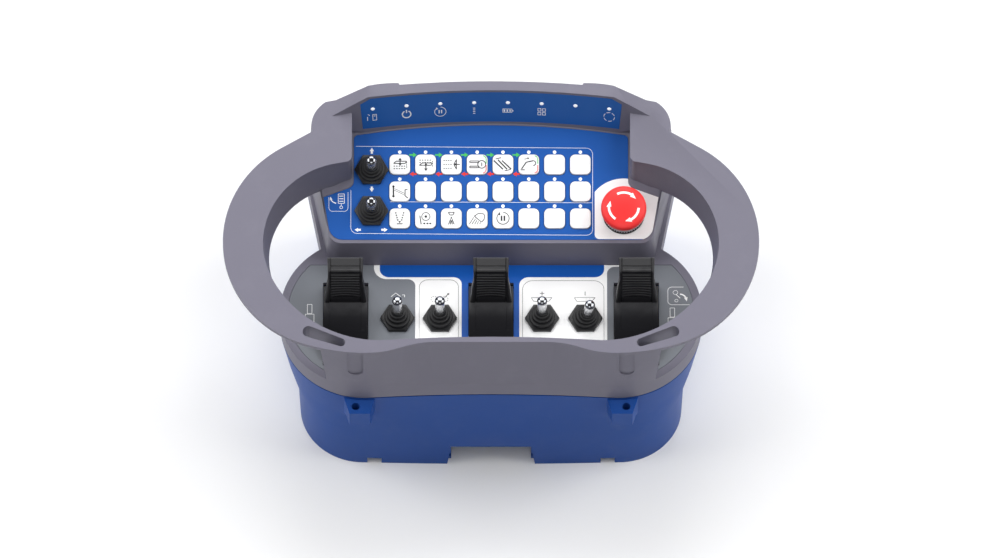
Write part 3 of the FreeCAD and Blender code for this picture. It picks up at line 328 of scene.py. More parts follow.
def plated(name, tint, roughness, metallic=1.0):
    """Polished or plated metal with faint brushing."""
    name += "_finish"
    if name in bpy.data.materials:
        return bpy.data.materials[name]
    made, tree, shader = new_finish(name, metallic=metallic)
    place = node(tree, "TexCoord").outputs["Object"]
    line = node(tree, "Mapping", {"Vector": place, "Scale": (400.0, 400.0, 6000.0)})
    brush = noise(tree, line.outputs["Vector"], 1.0, 2.0)
    dull = [c * 0.9 for c in tint]
    spread = calc(tree, "MULTIPLY_ADD", brush, roughness, roughness * 0.5)
    feed(tree, shader, {"Base Color": mixed(tree, brush, tint, dull), "Roughness": spread})
    return made


def zone_mask(name):
    """Group: one inside a rectangle with round corners, zero outside."""
    tree, given, out = shader_group(name, ("Place", *ZONE_INPUTS), ("Mask",))
    spot = node(tree, "SeparateXYZ", {0: given["Place"]})
    squares = []
    for axis, middle, half in (("X", "Middle X", "Half Width"), ("Y", "Middle Y", "Half Depth")):
        away = calc(tree, "ABSOLUTE", calc(tree, "SUBTRACT", spot.outputs[axis], given[middle]))
        flat = calc(tree, "SUBTRACT", given[half], given["Corner"])
        reach = calc(tree, "MAXIMUM", calc(tree, "SUBTRACT", away, flat), 0.0)
        squares.append(calc(tree, "MULTIPLY", reach, reach))
    far = calc(tree, "SQRT", calc(tree, "ADD", *squares))
    limit = calc(tree, "ADD", given["Corner"], 1e-6)
    feed(tree, out, {"Mask": calc(tree, "LESS_THAN", far, limit)})
    return tree


def zone(tree, place, x0, x1, y0, y1, corner=0.0):
    """Mask of a rectangle in millimetres."""
    sizes = ((x0 + x1) / 2, (y0 + y1) / 2, (x1 - x0) / 2, (y1 - y0) / 2, corner)
    inputs = {label: size * MM for label, size in zip(ZONE_INPUTS, sizes)}
    return group_node(tree, zone_mask, {"Place": place, **inputs}).outputs["Mask"]


def film(name, base, zones=(), place=None):
    """Printed polyester film: a base colour, zones of other colours over it, and a fine satin skin."""
    made, tree, shader = new_finish(name, specular_ior_level=0.15)
    spot = node(tree, "TexCoord").outputs["Object"]
    if place is not None:
        inputs = {"Vector": spot, "Location": place.to_translation(), "Rotation": place.to_euler()}
        spot = node(tree, "Mapping", inputs, vector_type="TEXTURE").outputs["Vector"]
    tone = (*base, 1.0)
    for tint, limits, *cuts in zones:
        mask = zone(tree, spot, *limits)
        for cut in cuts:
            mask = calc(tree, "MULTIPLY", mask, zone(tree, spot, *cut))
        tone = mixed(tree, mask, tone, tint)
    inputs = {"Colour": tone, "Roughness": 0.36, "Mottle": 0.03, "Pitch": FILM_PITCH}
    grain = group_node(tree, moulded_grain, inputs)
    dress(tree, shader, grain, grain, relief=0.05, depth=0.05)
    return made


def settings():
    return bpy.context.scene.remote_colours, bpy.context.scene.remote_sizes


def black_plastic():
    return moulded("black_plastic", settings()[0].black, roughness=0.3, mottle=0.1, specular_ior_level=0.4)


def black_rubber():
    return moulded("black_rubber", settings()[0].rubber, roughness=0.6, mottle=0.15, pitch=900.0)


# Mesh tools, in millimetres

def new_object(name, bm, finish, smooth=SHARP_ANGLE):
    """Object of a mesh with one finish, shaded smooth up to an angle in degrees."""
    mesh = bpy.data.meshes.new(name)
    bm.to_mesh(mesh)
    bm.free()
    mesh.materials.append(finish)
    mesh.shade_smooth()
    mesh.set_sharp_from_angle(angle=radians(smooth))
    made = bpy.data.objects.new(name, mesh)
    bpy.context.scene.collection.objects.link(made)
    return made


def add_piece(name, bm, finish, body, place=None, stands_for=(), slot=None, smooth=SHARP_ANGLE):
    """Object of a mesh that is put in its place, painted and carried by a body."""
    if place is not None:
        bmesh.ops.transform(bm, matrix=place, verts=bm.verts)
    piece = new_object(name, bm, finish, smooth)
    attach(piece, body)
    if stands_for:
        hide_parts(*stands_for)
    return piece


def merged_copy(name):
    """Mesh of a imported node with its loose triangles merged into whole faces."""
    bm = bmesh.new()
    bm.from_mesh(frame["nodes"][name].data)
    bmesh.ops.remove_doubles(bm, verts=bm.verts, dist=2e-6)
    bmesh.ops.dissolve_limit(bm, angle_limit=radians(0.5), verts=bm.verts, edges=bm.edges, delimit=set())
    return bm


def paint_node(name, finish):
    """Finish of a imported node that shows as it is."""
    for spot in frame["nodes"][name].material_slots:
        spot.material = finish


def round_edges(piece, width):
    """Bevel modifier over the sharp edges of a moulding."""
    soft = piece.modifiers.new("edge_rounding", "BEVEL")
    soft.width = width
    soft.segments = 3
    soft.limit_method = "ANGLE"
    soft.angle_limit = radians(SHARP_ANGLE)
    soft.harden_normals = True


def lathe(points, steps):
    """Closed turned shape from a half section of (radius, height) points."""
    bm = bmesh.new()
    verts = [bm.verts.new((radius, 0, height)) for radius, height in points]
    edges = [bm.edges.new(pair) for pair in zip(verts, verts[1:])]
    bmesh.ops.spin(bm, geom=verts + edges, cent=(0, 0, 0), axis=(0, 0, 1), angle=2 * pi, steps=steps,
                   use_merge=True)
    bmesh.ops.remove_doubles(bm, verts=bm.verts, dist=1e-5)
    bmesh.ops.recalc_face_normals(bm, faces=bm.faces)
    return bm


def lift(bm, faces, height):
    """Closed solids from flat faces, with their upper faces given back."""
    made = bmesh.ops.extrude_face_region(bm, geom=faces)["geom"]
    bmesh.ops.translate(bm, vec=(0, 0, height), verts=[v for v in made if isinstance(v, bmesh.types.BMVert)])
    bmesh.ops.recalc_face_normals(bm, faces=bm.faces)
    return [f for f in made if isinstance(f, bmesh.types.BMFace)]


def sheet(columns, rows, front, back):
    """Closed solid between two curved sheets that are drawn over the same columns and rows."""
    bm = bmesh.new()
    wide, deep = len(columns) - 1, len(rows) - 1
    bmesh.ops.create_grid(bm, x_segments=wide, y_segments=deep, size=0.5)
    made = set(bmesh.ops.extrude_face_region(bm, geom=bm.faces[:])["geom"])
    for vert in bm.verts:
        column = columns[round((vert.co.x + 0.5) * wide)]
        row = rows[round((vert.co.y + 0.5) * deep)]
        vert.co = front(column, row) if vert in made else back(column, row)
    bmesh.ops.recalc_face_normals(bm, faces=bm.faces)
    return bm


def gather(bm, part, place):
    """Add a placed part to a mesh of like parts."""
    bmesh.ops.transform(part, matrix=place, verts=part.verts)
    mesh = bpy.data.meshes.new("part")
    part.to_mesh(mesh)
    part.free()
    bm.from_mesh(mesh)
    bpy.data.meshes.remove(mesh)


def soften(bm, edges, width, segments):
    """Round some edges."""
    bmesh.ops.bevel(bm, geom=list(edges), offset=width, affect="EDGES", segments=segments, profile=0.5, material=-1)


# Printed marks, drawn flat in millimetres and then given the height of the ink

def polar(radius, degrees):
    """Spot on a circle about the origin."""
    turn = radians(degrees)
    return radius * cos(turn), radius * sin(turn)


def plate(bm, x0, x1, y0, y1, corner):
    """Flat rectangle with round corners."""
    place = Matrix.Translation(((x0 + x1) / 2, (y0 + y1) / 2, 0)) @ Matrix.Diagonal((x1 - x0, y1 - y0, 1, 1))
    verts = bmesh.ops.create_grid(bm, x_segments=1, y_segments=1, size=0.5, matrix=place)["verts"]
    verts = bmesh.ops.bevel(bm, geom=verts, offset=corner, affect="VERTICES", segments=8, profile=0.5,
                            material=-1)["verts"]
    return verts[0].link_faces[0]


def frame_line(bm, x0, x1, y0, y1, corner, width):
    """Line round a rectangle with round corners."""
    inside = plate(bm, x0, x1, y0, y1, corner)
    bmesh.ops.inset_individual(bm, faces=[inside], thickness=width, use_even_offset=True)
    bmesh.ops.delete(bm, geom=[inside], context="FACES_ONLY")


def bar(bm, start, end, width):
    """Straight stroke."""
    start, end = Vector(start), Vector(end)
    run = end - start
    turn = Matrix.Rotation(atan2(run.y, run.x), 4, "Z")
    place = Matrix.Translation(((start + end) / 2).to_3d()) @ turn @ Matrix.Diagonal((run.length, width, 1, 1))
    bmesh.ops.create_grid(bm, x_segments=1, y_segments=1, size=0.5, matrix=place)


def stroke(bm, points, width):
    """Strokes from point to point."""
    for start, end in zip(points, points[1:]):
        bar(bm, start, end, width)


def bend(x, y, radius, start, end):
    """Points along a round corner, angles in degrees."""
    spots = (polar(radius, start + (end - start) * step / BEND_STEPS) for step in range(BEND_STEPS + 1))
    return [(x + across, y + up) for across, up in spots]


def dashes(bm, start, end, width, count):
    """Broken stroke."""
    start, end = Vector(start), Vector(end)
    for index in range(count):
        here = start.lerp(end, index / count)
        bar(bm, here, here.lerp(end, DASH_SHARE / (count - index)), width)


def dot(bm, x, y, radius):
    """Filled disc."""
    bmesh.ops.create_circle(bm, cap_ends=True, segments=20, radius=radius, matrix=Matrix.Translation((x, y, 0)))


def arc_line(bm, x, y, radius, width, start=0, sweep=FULL_TURN, heights=(0.0, 0.0)):
    """Stroke along a circle, angles in degrees, with the heights of its inner and outer edge."""
    turn = Vector((*polar(1.0, start), 0))
    ends = [bm.verts.new(Vector((x, y, z)) + turn * r)
            for r, z in zip((radius - width / 2, radius + width / 2), heights)]
    edge = bm.edges.new(ends)
    steps = max(6, int(abs(sweep) / ARC_STEP))
    bmesh.ops.spin(bm, geom=ends + [edge], cent=(x, y, 0), axis=(0, 0, 1), angle=radians(sweep), steps=steps,
                   use_merge=abs(sweep) >= FULL_TURN)


def triangle(bm, tip, base, width):
    """Filled arrowhead."""
    tip, base = Vector(tip), Vector(base)
    side = Vector((base.y - tip.y, tip.x - base.x)).normalized() * width / 2
    bm.faces.new([bm.verts.new(p.to_3d()) for p in (tip, base + side, base - side)])


def arrow(bm, tail, tip, width, head):
    """Straight arrow."""
    tail, tip = Vector(tail), Vector(tip)
    neck = tip + (tail - tip).normalized() * head
    bar(bm, tail, neck, width)
    triangle(bm, tip, neck, head * HEAD_WIDTH)


def add_print(name, bm, tint, place, body="housing"):
    """Printed marks of one colour on a film, key or cap."""
    tints, sizes = settings()
    lift(bm, bm.faces[:], sizes.ink / MM)
    finish = moulded("ink_" + tint, getattr(tints, tint), roughness=0.35, mottle=0.04, pitch=FILM_PITCH, relief=0.04)
    add_piece(name, bm, finish, body, place)


# Operators

class REMOTE_OT_housings(bpy.types.Operator):
    """Tub, deck housing and guard frame with rounded moulded edges"""
    bl_idname = "remote.housings"
    bl_label = "Housings"

    def execute(self, context):
        tints = context.scene.remote_colours
        blue = moulded("tub_blue", tints.tub, roughness=0.45, mottle=0.03, wear=0.01, specular_ior_level=0.2)
        gray = moulded("housing_gray", tints.gray, mottle=0.04, wear=0.02, specular_ior_level=0.3)
        for name, slot, finish in (("lower_housing", "tub_blue", blue), ("upper_housing", "housing_gray", gray),
                                   ("guard_frame", "housing_gray", gray)):
            piece = add_piece(name + "_shell", merged_copy(name), finish, "housing", stands_for=[name], slot=slot)
            round_edges(piece, context.scene.remote_sizes.edge)
        return {"FINISHED"}


class REMOTE_OT_deck_film(bpy.types.Operator):
    """Printed film of the deck with its zones, lines and symbols"""
    bl_idname = "remote.deck_film"
    bl_label = "Deck film"

    def execute(self, context):
        tints = context.scene.remote_colours
        gray, blue, white = tints.deck_gray, tints.deck_blue, tints.white
        far = 300.0  # beyond every edge of the film
        zones = [
            (white, (-74.5, 90.0, -8.5, far, 8.0)),
            (blue, (-70.9, 72.1, -7.2, far, 6.0)),
            (blue, (-26.0, 26.0, -far, -1.0)),
            (white, (-60.0, -18.7, -far, -7.2, 5.0)),
            (white, (18.0, 90.0, -far, -7.2, 6.0)),
            (gray, (-far, -48.2, -far, -8.6, 5.0)),
            (gray, (73.9, far, -far, 0.5, 5.0)),
        ]
        paint_node("deck_overlay", film("deck_film", gray, zones))
        place = Matrix.Translation((0, 0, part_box("deck_overlay")[1].z)) @ Matrix.Scale(MM, 4)
        dark = bmesh.new()
        frame_line(dark, -45.8, -20.6, -78.0, -9.0, 5.5, 0.25)
        frame_line(dark, 20.0, 72.0, -78.0, -9.6, 6.5, 0.25)
        bar(dark, (31.1, -19.2), (33.9, -19.2), 0.45)
        for x in (32.5, 59.9):
            bar(dark, (x, -17.8), (x, -20.6), 0.45)
            tray = [(x - 6.8, -22.2), (x + 6.4, -22.2), (x + 4.2, -24.9), (x - 5.4, -24.9), (x - 6.8, -22.2)]
            stroke(dark, tray, 0.32)
        arrow(dark, (-29.6, -22.3), (-26.6, -18.8), 0.45, 1.4)
        for x, start in product((-36.2, -29.4), range(0, FULL_TURN, 45)):
            arc_line(dark, x, -23.2, 2.0, 0.25, start, 28)
        add_print("deck_dark_print", dark, "dark", place)
        pale = bmesh.new()
        stroke(pale, [(-63.6, -21.4), (-60.6, -18.8), (-57.6, -21.4)], 0.35)
        stroke(pale, [(-56.6, -20.2), (-55.0, -20.2), (-55.0, -21.8)], 0.35)
        for x in (-62.6, -58.6):
            bar(pale, (x, -60.6), (x, -63.0), 0.45)
        frame_line(pale, -57.0, -55.2, -63.0, -60.6, 0.5, 0.4)
        for x, y in ((-115.4, -34.0), (115.4, -36.6)):
            frame_line(pale, x - 1.6, x + 1.6, y, y + 7.0, 0.3, 0.3)
            frame_line(pale, x - 2.9, x + 2.9, y - 6.4, y - 0.2, 0.3, 0.3)
        stroke(pale, [(122.6, -14.4), *bend(115.2, -17.0, 2.6, 90, 180), *bend(115.2, -24.8, 2.6, 180, 270),
                      (126.4, -27.4)], 0.28)
        arc_line(pale, 117.4, -18.4, 1.5, 0.25)
        bar(pale, (117.8, -19.8), (120.4, -22.6), 0.4)
        arc_line(pale, 118.0, -24.4, 1.0, 0.25)
        arc_line(pale, 120.0, -24.0, 4.4, 0.9, 20, 66)
        triangle(pale, (124.6, -25.0), (124.0, -22.0), 2.4)
        add_print("deck_white_print", pale, "white", place)
        return {"FINISHED"}


class REMOTE_OT_keypad_film(bpy.types.Operator):
    """Printed film of the keypad with its frames and arrows"""
    bl_idname = "remote.keypad_film"
    bl_label = "Keypad film"

    def execute(self, context):
        tints = context.scene.remote_colours
        place = panel_place()
        line = 0.26
        zones = [
            (tints.white, (66.0, 140.0, 0.7, 32.6, 3.0)),
            (tints.white, (60.9, 107.9, -6.4, 40.6, 23.5), (66.0, 140.0, 0.7, 60.0, 3.0)),
        ]
        paint_node("keypad_overlay", film("keypad_film", tints.label, zones, place))
        pale = bmesh.new()
        stroke(pale, [(-86.0, 61.9), *bend(60.7, 56.7, 4.0, 90, 0), *bend(60.7, 7.2, 4.0, 0, -90),
                      *bend(-85.2, 8.4, 4.0, 270, 180), (-89.2, 33.0)], line)
        bar(pale, (-64.0, 25.3), (64.4, 24.6), line)
        stroke(pale, [(-103.2, 28.2), *bend(-100.8, 21.4, 2.4, 180, 270), *bend(-93.4, 21.4, 2.4, 270, 360),
                      (-91.0, 31.6)], line)
        arc_line(pale, -98.0, 28.6, 4.3, 0.6, 205, 57)
        triangle(pale, (-102.3, 28.6), (-101.8, 26.6), 1.9)
        frame_line(pale, -97.4, -93.2, 24.0, 30.6, 0.5, 0.34)
        for d in (25.6, 27.3, 29.0):
            bar(pale, (-96.6, d), (-94.0, d), 0.5)
        arc_line(pale, -95.3, 21.6, 0.9, 0.34)
        bar(pale, (-95.3, 22.5), (-95.3, 24.0), 0.34)
        for tail, tip in (((-75.9, 57.0), (-75.9, 60.9)), ((-75.9, 35.3), (-75.9, 31.8)),
                          ((-82.8, 6.8), (-86.8, 6.8)), ((-69.8, 6.8), (-65.8, 6.8))):
            arrow(pale, tail, tip, 1.3, 2.2)
        add_print("keypad_white_print", pale, "white", place)
        green, red = bmesh.new(), bmesh.new()
        for column in range(5):
            x = KEY_FIRST[0] + KEY_PITCH[0] * (column + 0.5)
            arrow(green, (x - 2.2, 56.2), (x + 2.7, 56.2), 1.0, 2.5)
            arrow(red, (x + 2.6, 43.6), (x - 2.0, 43.6), 1.2, 2.5)
        add_print("keypad_green_print", green, "green", place)
        add_print("keypad_red_print", red, "red", place)
        return {"FINISHED"}


def key_symbol(bm, row, column):
    """Line symbol of one key, in millimetres about its middle."""
    thin = 0.55
    spot = (row, column)
    if spot in ((1, 1), (1, 2)):
        up = 1 if column == 1 else -1
        low, high = up * 0.6, up * 0.6 + 1.5
        stroke(bm, [(-3.9, low), (-2.2, high), (4.4, high), (3.4, low), (-3.9, low)], thin)
        for y in (-1.2, -2.8):
            dashes(bm, (-3.9, up * y), (4.2, up * y), thin, 5)
        dashes(bm, (4.4, up * 1.4), (4.4, -up * 2.8), thin, 3)
        arrow(bm, (0.2, up * 1.2), (0.2, up * 4.4), 0.6, 1.7)
        arrow(bm, (0.2, up * 1.2), (0.2, -up * 1.0), 0.6, 1.5)
    elif spot == (1, 3):
        for y in (-2.6, 0.0, 2.6):
            dashes(bm, (-5.0, y), (0.8, y), thin, 4)
        stroke(bm, [(3.2, 3.2), (1.6, 0.0), (3.2, -3.2), (3.2, 3.2)], thin)
        arrow(bm, (5.4, 0.0), (1.6, 0.0), 0.6, 1.8)
    elif spot == (1, 4):
        for y in (1.7, -1.7):
            frame_line(bm, -5.0, 1.4, y - 0.8, y + 0.8, 0.7, thin)
        arc_line(bm, 2.9, 0.0, 2.5, thin)
        bar(bm, (2.9, -1.2), (2.9, 1.2), 0.5)
    elif spot == (1, 5):
        for shift in (-2.6, 0.0, 2.6):
            bar(bm, (shift - 3.2, 3.0 - abs(shift) * 0.2), (shift + 2.6, -3.2), 0.8)
        bar(bm, (-4.6, 3.6), (-1.2, 4.4), thin)
        bar(bm, (1.2, -4.2), (4.8, -3.4), thin)
    elif spot == (1, 6):
        stroke(bm, [(-4.6, -3.0), (-1.6, 1.4), (2.8, 2.4)], 0.7)
        arc_line(bm, 2.8, 0.8, 1.6, thin, -90, 200)
        arrow(bm, (-2.8, 3.4), (0.4, 4.2), 0.4, 1.2)
        bar(bm, (-5.2, -3.6), (-2.6, -3.6), thin)
    elif spot == (2, 1):
        bar(bm, (-4.0, 3.6), (-4.0, -3.6), 0.9)
        for y in (1.8, 0.7):
            bar(bm, (-3.4, y), (3.6, y - 3.4), 0.3)
        stroke(bm, [(4.9, 1.2), (3.4, 1.2), (3.4, -3.0), (5.2, -4.4)], thin)
        dot(bm, -4.0, 3.2, 0.75)
        dot(bm, -4.0, -3.2, 0.75)
    elif spot == (3, 1):
        for side in (-1, 1):
            dashes(bm, (side * 2.6, 4.0), (side * 1.0, -2.2), 0.8, 4)
        bar(bm, (-1.8, -3.6), (1.8, -3.6), thin)
        triangle(bm, (0.0, -3.2), (0.0, -1.8), 1.6)
    elif spot == (3, 2):
        arc_line(bm, 0.2, 1.2, 2.6, 0.45)
        dot(bm, 0.2, 1.2, 0.8)
        bar(bm, (-3.6, 1.8), (-2.8, -4.0), 0.6)
        for x in (-1.4, 0.6, 2.4):
            bar(bm, (x, -3.4), (x + 1.2, -3.4), 0.9)
    elif spot == (3, 3):
        stroke(bm, [(-1.9, 4.0), (1.9, 4.0), (1.0, 2.2), (-1.0, 2.2), (-1.9, 4.0)], thin)
        triangle(bm, (0.0, 1.4), (0.0, -0.2), 1.4)
        for side in (-1, 1):
            bar(bm, (side * 0.5, -0.6), (side * 1.8, -4.0), thin)
            bar(bm, (side * 0.2, -1.4), (side * 0.6, -4.0), thin)
    elif spot == (3, 4):
        stroke(bm, [(-1.8, 1.4), (0.6, 3.1), (2.6, 3.4), (4.3, 2.7), (4.9, 1.2), (4.3, -0.8), (2.8, -2.5),
                    (-1.8, 1.4)], 0.5)
        for x, y, end in ((-2.2, 0.7, -5.0), (-1.1, -0.4, -3.3), (-0.1, -1.3, -1.6), (0.9, -2.0, 0.0),
                          (2.0, -2.6, 1.7)):
            bar(bm, (x, y), (end, -3.9), 0.4)
    elif spot == (3, 5):
        arc_line(bm, 0.0, 0.0, 3.9, 0.5, 130, 318)
        triangle(bm, (-2.0, 4.2), (-2.6, 2.2), 1.8)
        for x in (-0.9, 0.9):
            bar(bm, (x, -1.7), (x, 1.7), 1.0)


class REMOTE_OT_keys(bpy.types.Operator):
    """White key caps with rounded edges, their symbols and the rings round their lights"""
    bl_idname = "remote.keys"
    bl_label = "Keys"

    def execute(self, context):
        finish = moulded("key_white", context.scene.remote_colours.key, roughness=0.38, mottle=0.03, pitch=2200.0,
                         relief=0.05)
        rings = bmesh.new()
        for row, column in product(range(1, KEY_ROWS + 1), range(1, KEY_COLUMNS + 1)):
            name = f"key_r{row}_c{column}"
            x = KEY_FIRST[0] + (column - 1) * KEY_PITCH[0]
            d = KEY_FIRST[1] + (KEY_ROWS - row) * KEY_PITCH[1]
            place = panel_place() @ Matrix.Translation((x, d, 0))
            bm = bmesh.new()
            flat = plate(bm, -KEY_HALF, KEY_HALF, -KEY_HALF, KEY_HALF, KEY_HALF / 2)
            soften(bm, lift(bm, [flat], KEY_HEIGHT)[0].edges, 0.55, 4)
            bmesh.ops.translate(bm, vec=(0, 0, KEY_TOP - KEY_HEIGHT), verts=bm.verts)
            add_piece(name + "_cap", bm, finish, name, place, [name], "key_white")
            place @= Matrix.Translation((0, 0, KEY_TOP))
            marks = bmesh.new()
            key_symbol(marks, row, column)
            if marks.faces:
                add_print(name + "_symbol", marks, "dark", place, name)
            if (row, column) in EDGED_KEYS:
                for tint, side in (("green", 1), ("red", -1)):
                    edge = bmesh.new()
                    bar(edge, (5.7, 0.5 * side), (5.7, 3.3 * side), 0.55)
                    arc_line(edge, 3.3, 3.3 * side, 2.4, 0.55, 0, 80 * side)
                    add_print(f"{name}_{tint}_edge", edge, tint, place, name)
            arc_line(rings, x, d + KEY_RING, 0.95, 0.35)
        add_print("key_light_rings", rings, "white", panel_place())
        return {"FINISHED"}


class REMOTE_OT_toggles(bpy.types.Operator):
    """Hex nuts, ringed rubber boots and chrome levers of the six toggles"""
    bl_idname = "remote.toggles"
    bl_label = "Toggles"

    def execute(self, context):
        tip = [(0, 24.8), (1.2, 24.74), (1.9, 24.56), (2.5, 24.24), (2.95, 23.8), (3.2, 23.2), (3.3, 22.6),
               (3.1, 22.3), (0, 22.3)]
        shaft = [(0, 22.5), (3.15, 22.5), (3.2, 21.6), (2.85, 14.0), (2.7, 9.0), (2.2, 8.0), (2.2, 2.0), (0, 2.0)]
        lever = (("tip", tip, plated("chrome", (0.3, 0.31, 0.33), 0.06)),
                 ("shaft", shaft, plated("satin_nickel", (0.8, 0.81, 0.83), 0.22, 0.7)))
        nuts = bmesh.new()
        for number in range(1, TOGGLES + 1):
            place = toggle_place(number)
            body = f"toggle_lever_{number}"
            nut = bmesh.new()
            flat = bmesh.ops.create_circle(nut, cap_ends=True, segments=6, radius=NUT_FLATS / sqrt(3))["verts"]
            bmesh.ops.rotate(nut, matrix=Matrix.Rotation(radians(30.0), 3, "Z"), verts=nut.verts)
            soften(nut, lift(nut, flat[0].link_faces[:], NUT_HEIGHT)[0].edges, 0.5, 2)
            gather(nuts, nut, place)
            lean = self.lean() if number == LEANING_TOGGLE else Matrix()
            self.add_boot(number, place, lean)
            for part, side, finish in lever:
                add_piece(f"lever_{number}_{part}", lathe(side, 40), finish, body, place @ lean, [body], "chrome",
                          smooth=50.0)
        add_piece("hex_nuts", nuts, black_plastic(), "housing", None, ["toggle_nuts"], "black_plastic", smooth=30.0)
        return {"FINISHED"}

    def lean(self):
        """Turn of the leaning lever about its pivot at rest."""
        way = Vector((tan(radians(7.0)), -tan(radians(6.6)), 1.0))
        turn = Vector((0, 0, 1)).rotation_difference(way).to_matrix().to_4x4()
        pivot = Matrix.Translation((0, 0, -PIVOT_DEPTH))
        return pivot @ turn @ pivot.inverted()

    def add_boot(self, number, place, lean):
        """Rubber boot that bends to lean with its lever at rest."""
        side = [(6.0, NUT_HEIGHT), (8.1, NUT_HEIGHT), (8.3, 2.6), (8.3, 3.9), (8.0, 4.3), (7.3, 4.4), (6.5, 4.3),
                (6.2, 4.7), (6.3, 5.9), (6.5, 6.3), (6.4, 6.7), (5.9, 6.9), (4.9, 6.7), (4.6, 7.1), (4.8, 8.6),
                (5.0, 8.9), (4.8, 9.3), (4.3, 9.4), (3.8, 9.3), (3.8, 9.7), (3.8, 11.0), (3.5, 11.5), (3.0, 11.5),
                (2.9, 11.0), (2.9, 9.0)]
        boot = lathe(side, 48)
        turn = lean.to_quaternion()
        pivot = Vector((0, 0, -PIVOT_DEPTH))
        for vert in boot.verts:
            share = min(max((vert.co.z - 3.0) / 6.0, 0.0), 1.0)
            vert.co = Matrix.Rotation(turn.angle * share, 4, turn.axis) @ (vert.co - pivot) + pivot
        bmesh.ops.transform(boot, matrix=place, verts=boot.verts)
        piece = new_object(f"boot_{number}", boot, black_rubber(), smooth=55.0)
        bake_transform(piece)
        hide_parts("toggle_boots")


def blade_depth(x, along):
    """How deep the grip of a thumb blade lies under its cheeks: ribs in a scoop, and a stepped top."""
    if along < GRIP_START:
        return 0.25
    if along < 26.4:
        rib = 0.3 + 0.34 * (1 - cos(2 * pi * (along - 5.7) / RIB_PITCH))
        return rib + 1.8 * max(0.0, 1 - (along - GRIP_START) / 15.0) ** 1.2 * (1 - (x / GRIP_HALF) ** 2)
    for end, depth in ((28.0, 1.0), (29.6, 0.25), (31.3, 0.5), (31.9, 0.95)):
        if along < end:
            return depth
    return 0.3


